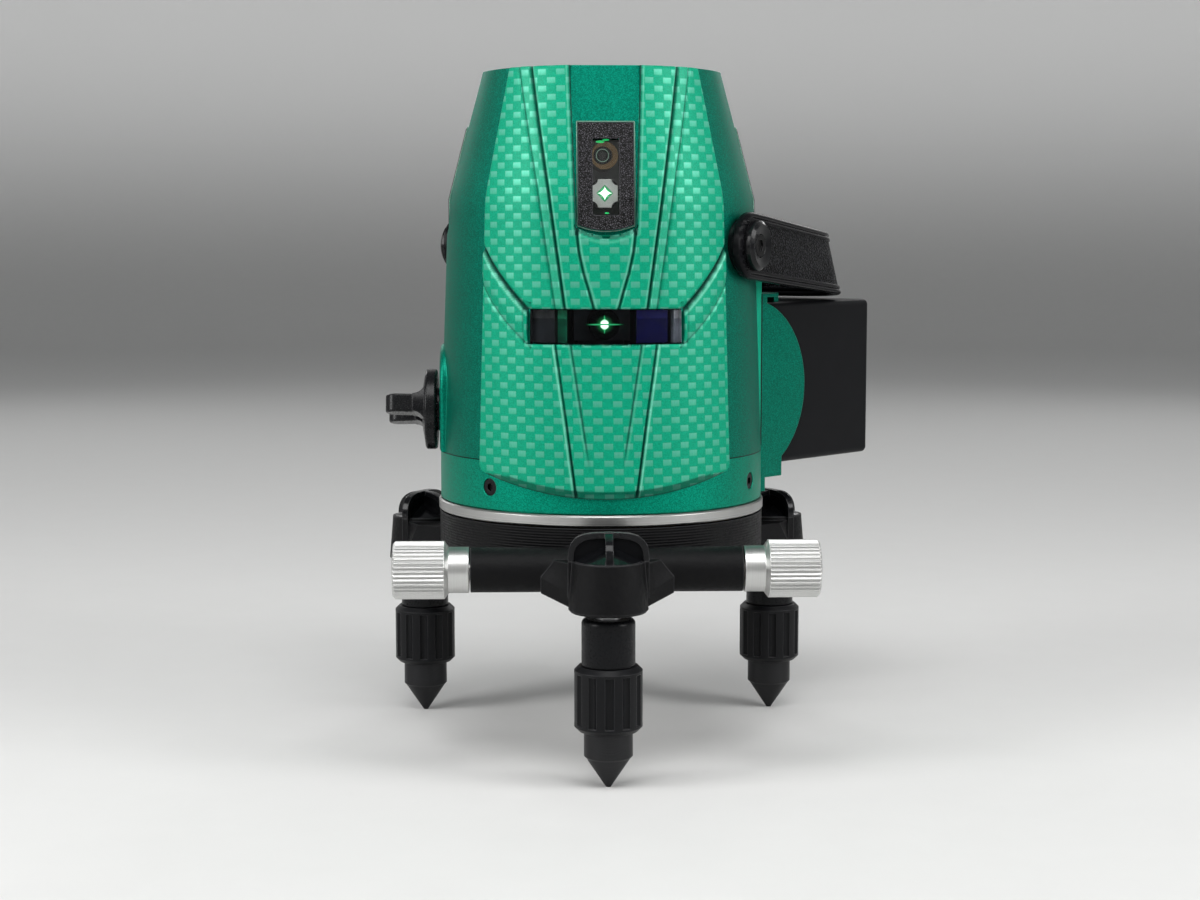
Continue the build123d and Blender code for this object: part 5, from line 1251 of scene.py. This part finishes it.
# Battery: a black case with rounded edges that slides between the bracket's cheeks, closed by a lid.
# Moulded plastic with a very fine grain.
case_black = moulded_black("battery_case_black", rough=0.44, grain=0.22, depth=0.03, edge=0.5, shine=0.1)
dress(case_black, "battery_case", "battery_lid")


# Studio: a pale seamless paper sweep all round the object, under an even sky.
# Three soft boxes light it from the left, the right and above, and two narrow strips from behind.
floor_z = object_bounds()[0][2]


def sweep_paper():
    material, tree, shader = new_finish("pale_paper", Specular_IOR_Level=0.2)
    fibres, (_, _, z) = grain_of(tree, 20), split(place(tree))
    paper = blend(fibres, (0.66, 0.66, 0.65), (0.69, 0.69, 0.68))
    tone = blend(ramp(z, 0.0, 0.4), paper, (0.92, 0.92, 0.91))
    surface(shader, Base_Color=tone, Roughness=over_grain(fibres, 0.8, 0.9))
    rays = add(tree, "LightPath").outputs
    mirrored = calc("MAXIMUM", Field(rays["Is Glossy Ray"]), Field(rays["Is Transmission Ray"]))
    seen = calc("MAXIMUM", Field(rays["Is Camera Ray"]), mirrored)
    light = ramp(z, 0.0, 0.6, 0.0, 0.22)
    surface(shader, Emission_Color=(1, 1, 0.99), Emission_Strength=seen * light)
    return material


def sweep_mesh():
    floor_r, cove_r, wall_top, cove_steps = 2.6, 1.2, 3.4, 12
    mesh = bmesh.new()
    points = [(0.0, 0.0), (floor_r, 0.0)]
    for i in range(1, cove_steps + 1):
        lean = math.pi / 2 * i / cove_steps
        points.append((floor_r + cove_r * math.sin(lean), cove_r * (1 - math.cos(lean))))
    points.append((floor_r + cove_r, wall_top))
    chain = [mesh.verts.new((r, 0, z + floor_z)) for r, z in points]
    edges = [mesh.edges.new(pair) for pair in zip(chain, chain[1:])]
    bmesh.ops.spin(
        mesh, geom=chain + edges, cent=(0, 0, 0), axis=(0, 0, 1), angle=2 * math.pi, steps=96, use_merge=True
    )
    bmesh.ops.remove_doubles(mesh, verts=mesh.verts[:], dist=1e-6)
    return face_out(mesh)


studio_sweep = new_object("studio_sweep", sweep_mesh(), sweep_paper())


def soft_box(name, place_at, size, power, aim=(0, 0, 0.05)):
    lamp = bpy.data.lights.new(name, "AREA")
    lamp.shape = "RECTANGLE"
    lamp.size, lamp.size_y = size
    lamp.energy = power
    holder = bpy.data.objects.new(name, lamp)
    holder.location = place_at
    holder.rotation_euler = (Vector(aim) - Vector(place_at)).to_track_quat("-Z", "Y").to_euler()
    bpy.context.scene.collection.objects.link(holder)


soft_box("left_box", (-0.85, -0.42, 0.5), size=(0.35, 0.7), power=6.0)
soft_box("right_box", (0.85, -0.42, 0.5), size=(0.35, 0.7), power=5.7)
soft_box("top_box", (0.0, -0.62, 1.15), size=(0.9, 0.7), power=11.2)
soft_box("left_rim_strip", (-0.62, 1.2, 0.8), size=(0.15, 0.8), power=1.8)
soft_box("right_rim_strip", (0.62, 1.2, 0.8), size=(0.15, 0.8), power=1.8)

sky = bpy.data.worlds.new("even_sky")
sky.use_nodes = True
sky.node_tree.nodes["Background"].inputs["Color"].default_value = (0.95, 0.97, 1.0, 1)
sky.node_tree.nodes["Background"].inputs["Strength"].default_value = 0.2
bpy.context.scene.world = sky


# Camera: level with the front bezel's foot, a little left of the middle, and turned slightly down.
# Its place and lens were fitted to the photograph.
camera = bpy.data.cameras.new("camera")
camera.sensor_width = 36.0
camera.lens = 61.2
camera_holder = bpy.data.objects.new("camera", camera)
camera_holder.location = (-0.0227, -0.6996, 0.1132)
camera_holder.rotation_euler = (math.pi / 2 - 0.103, 0, -0.032)
bpy.context.scene.collection.objects.link(camera_holder)
bpy.context.scene.camera = camera_holder
bpy.context.scene.view_settings.view_transform = "Standard"
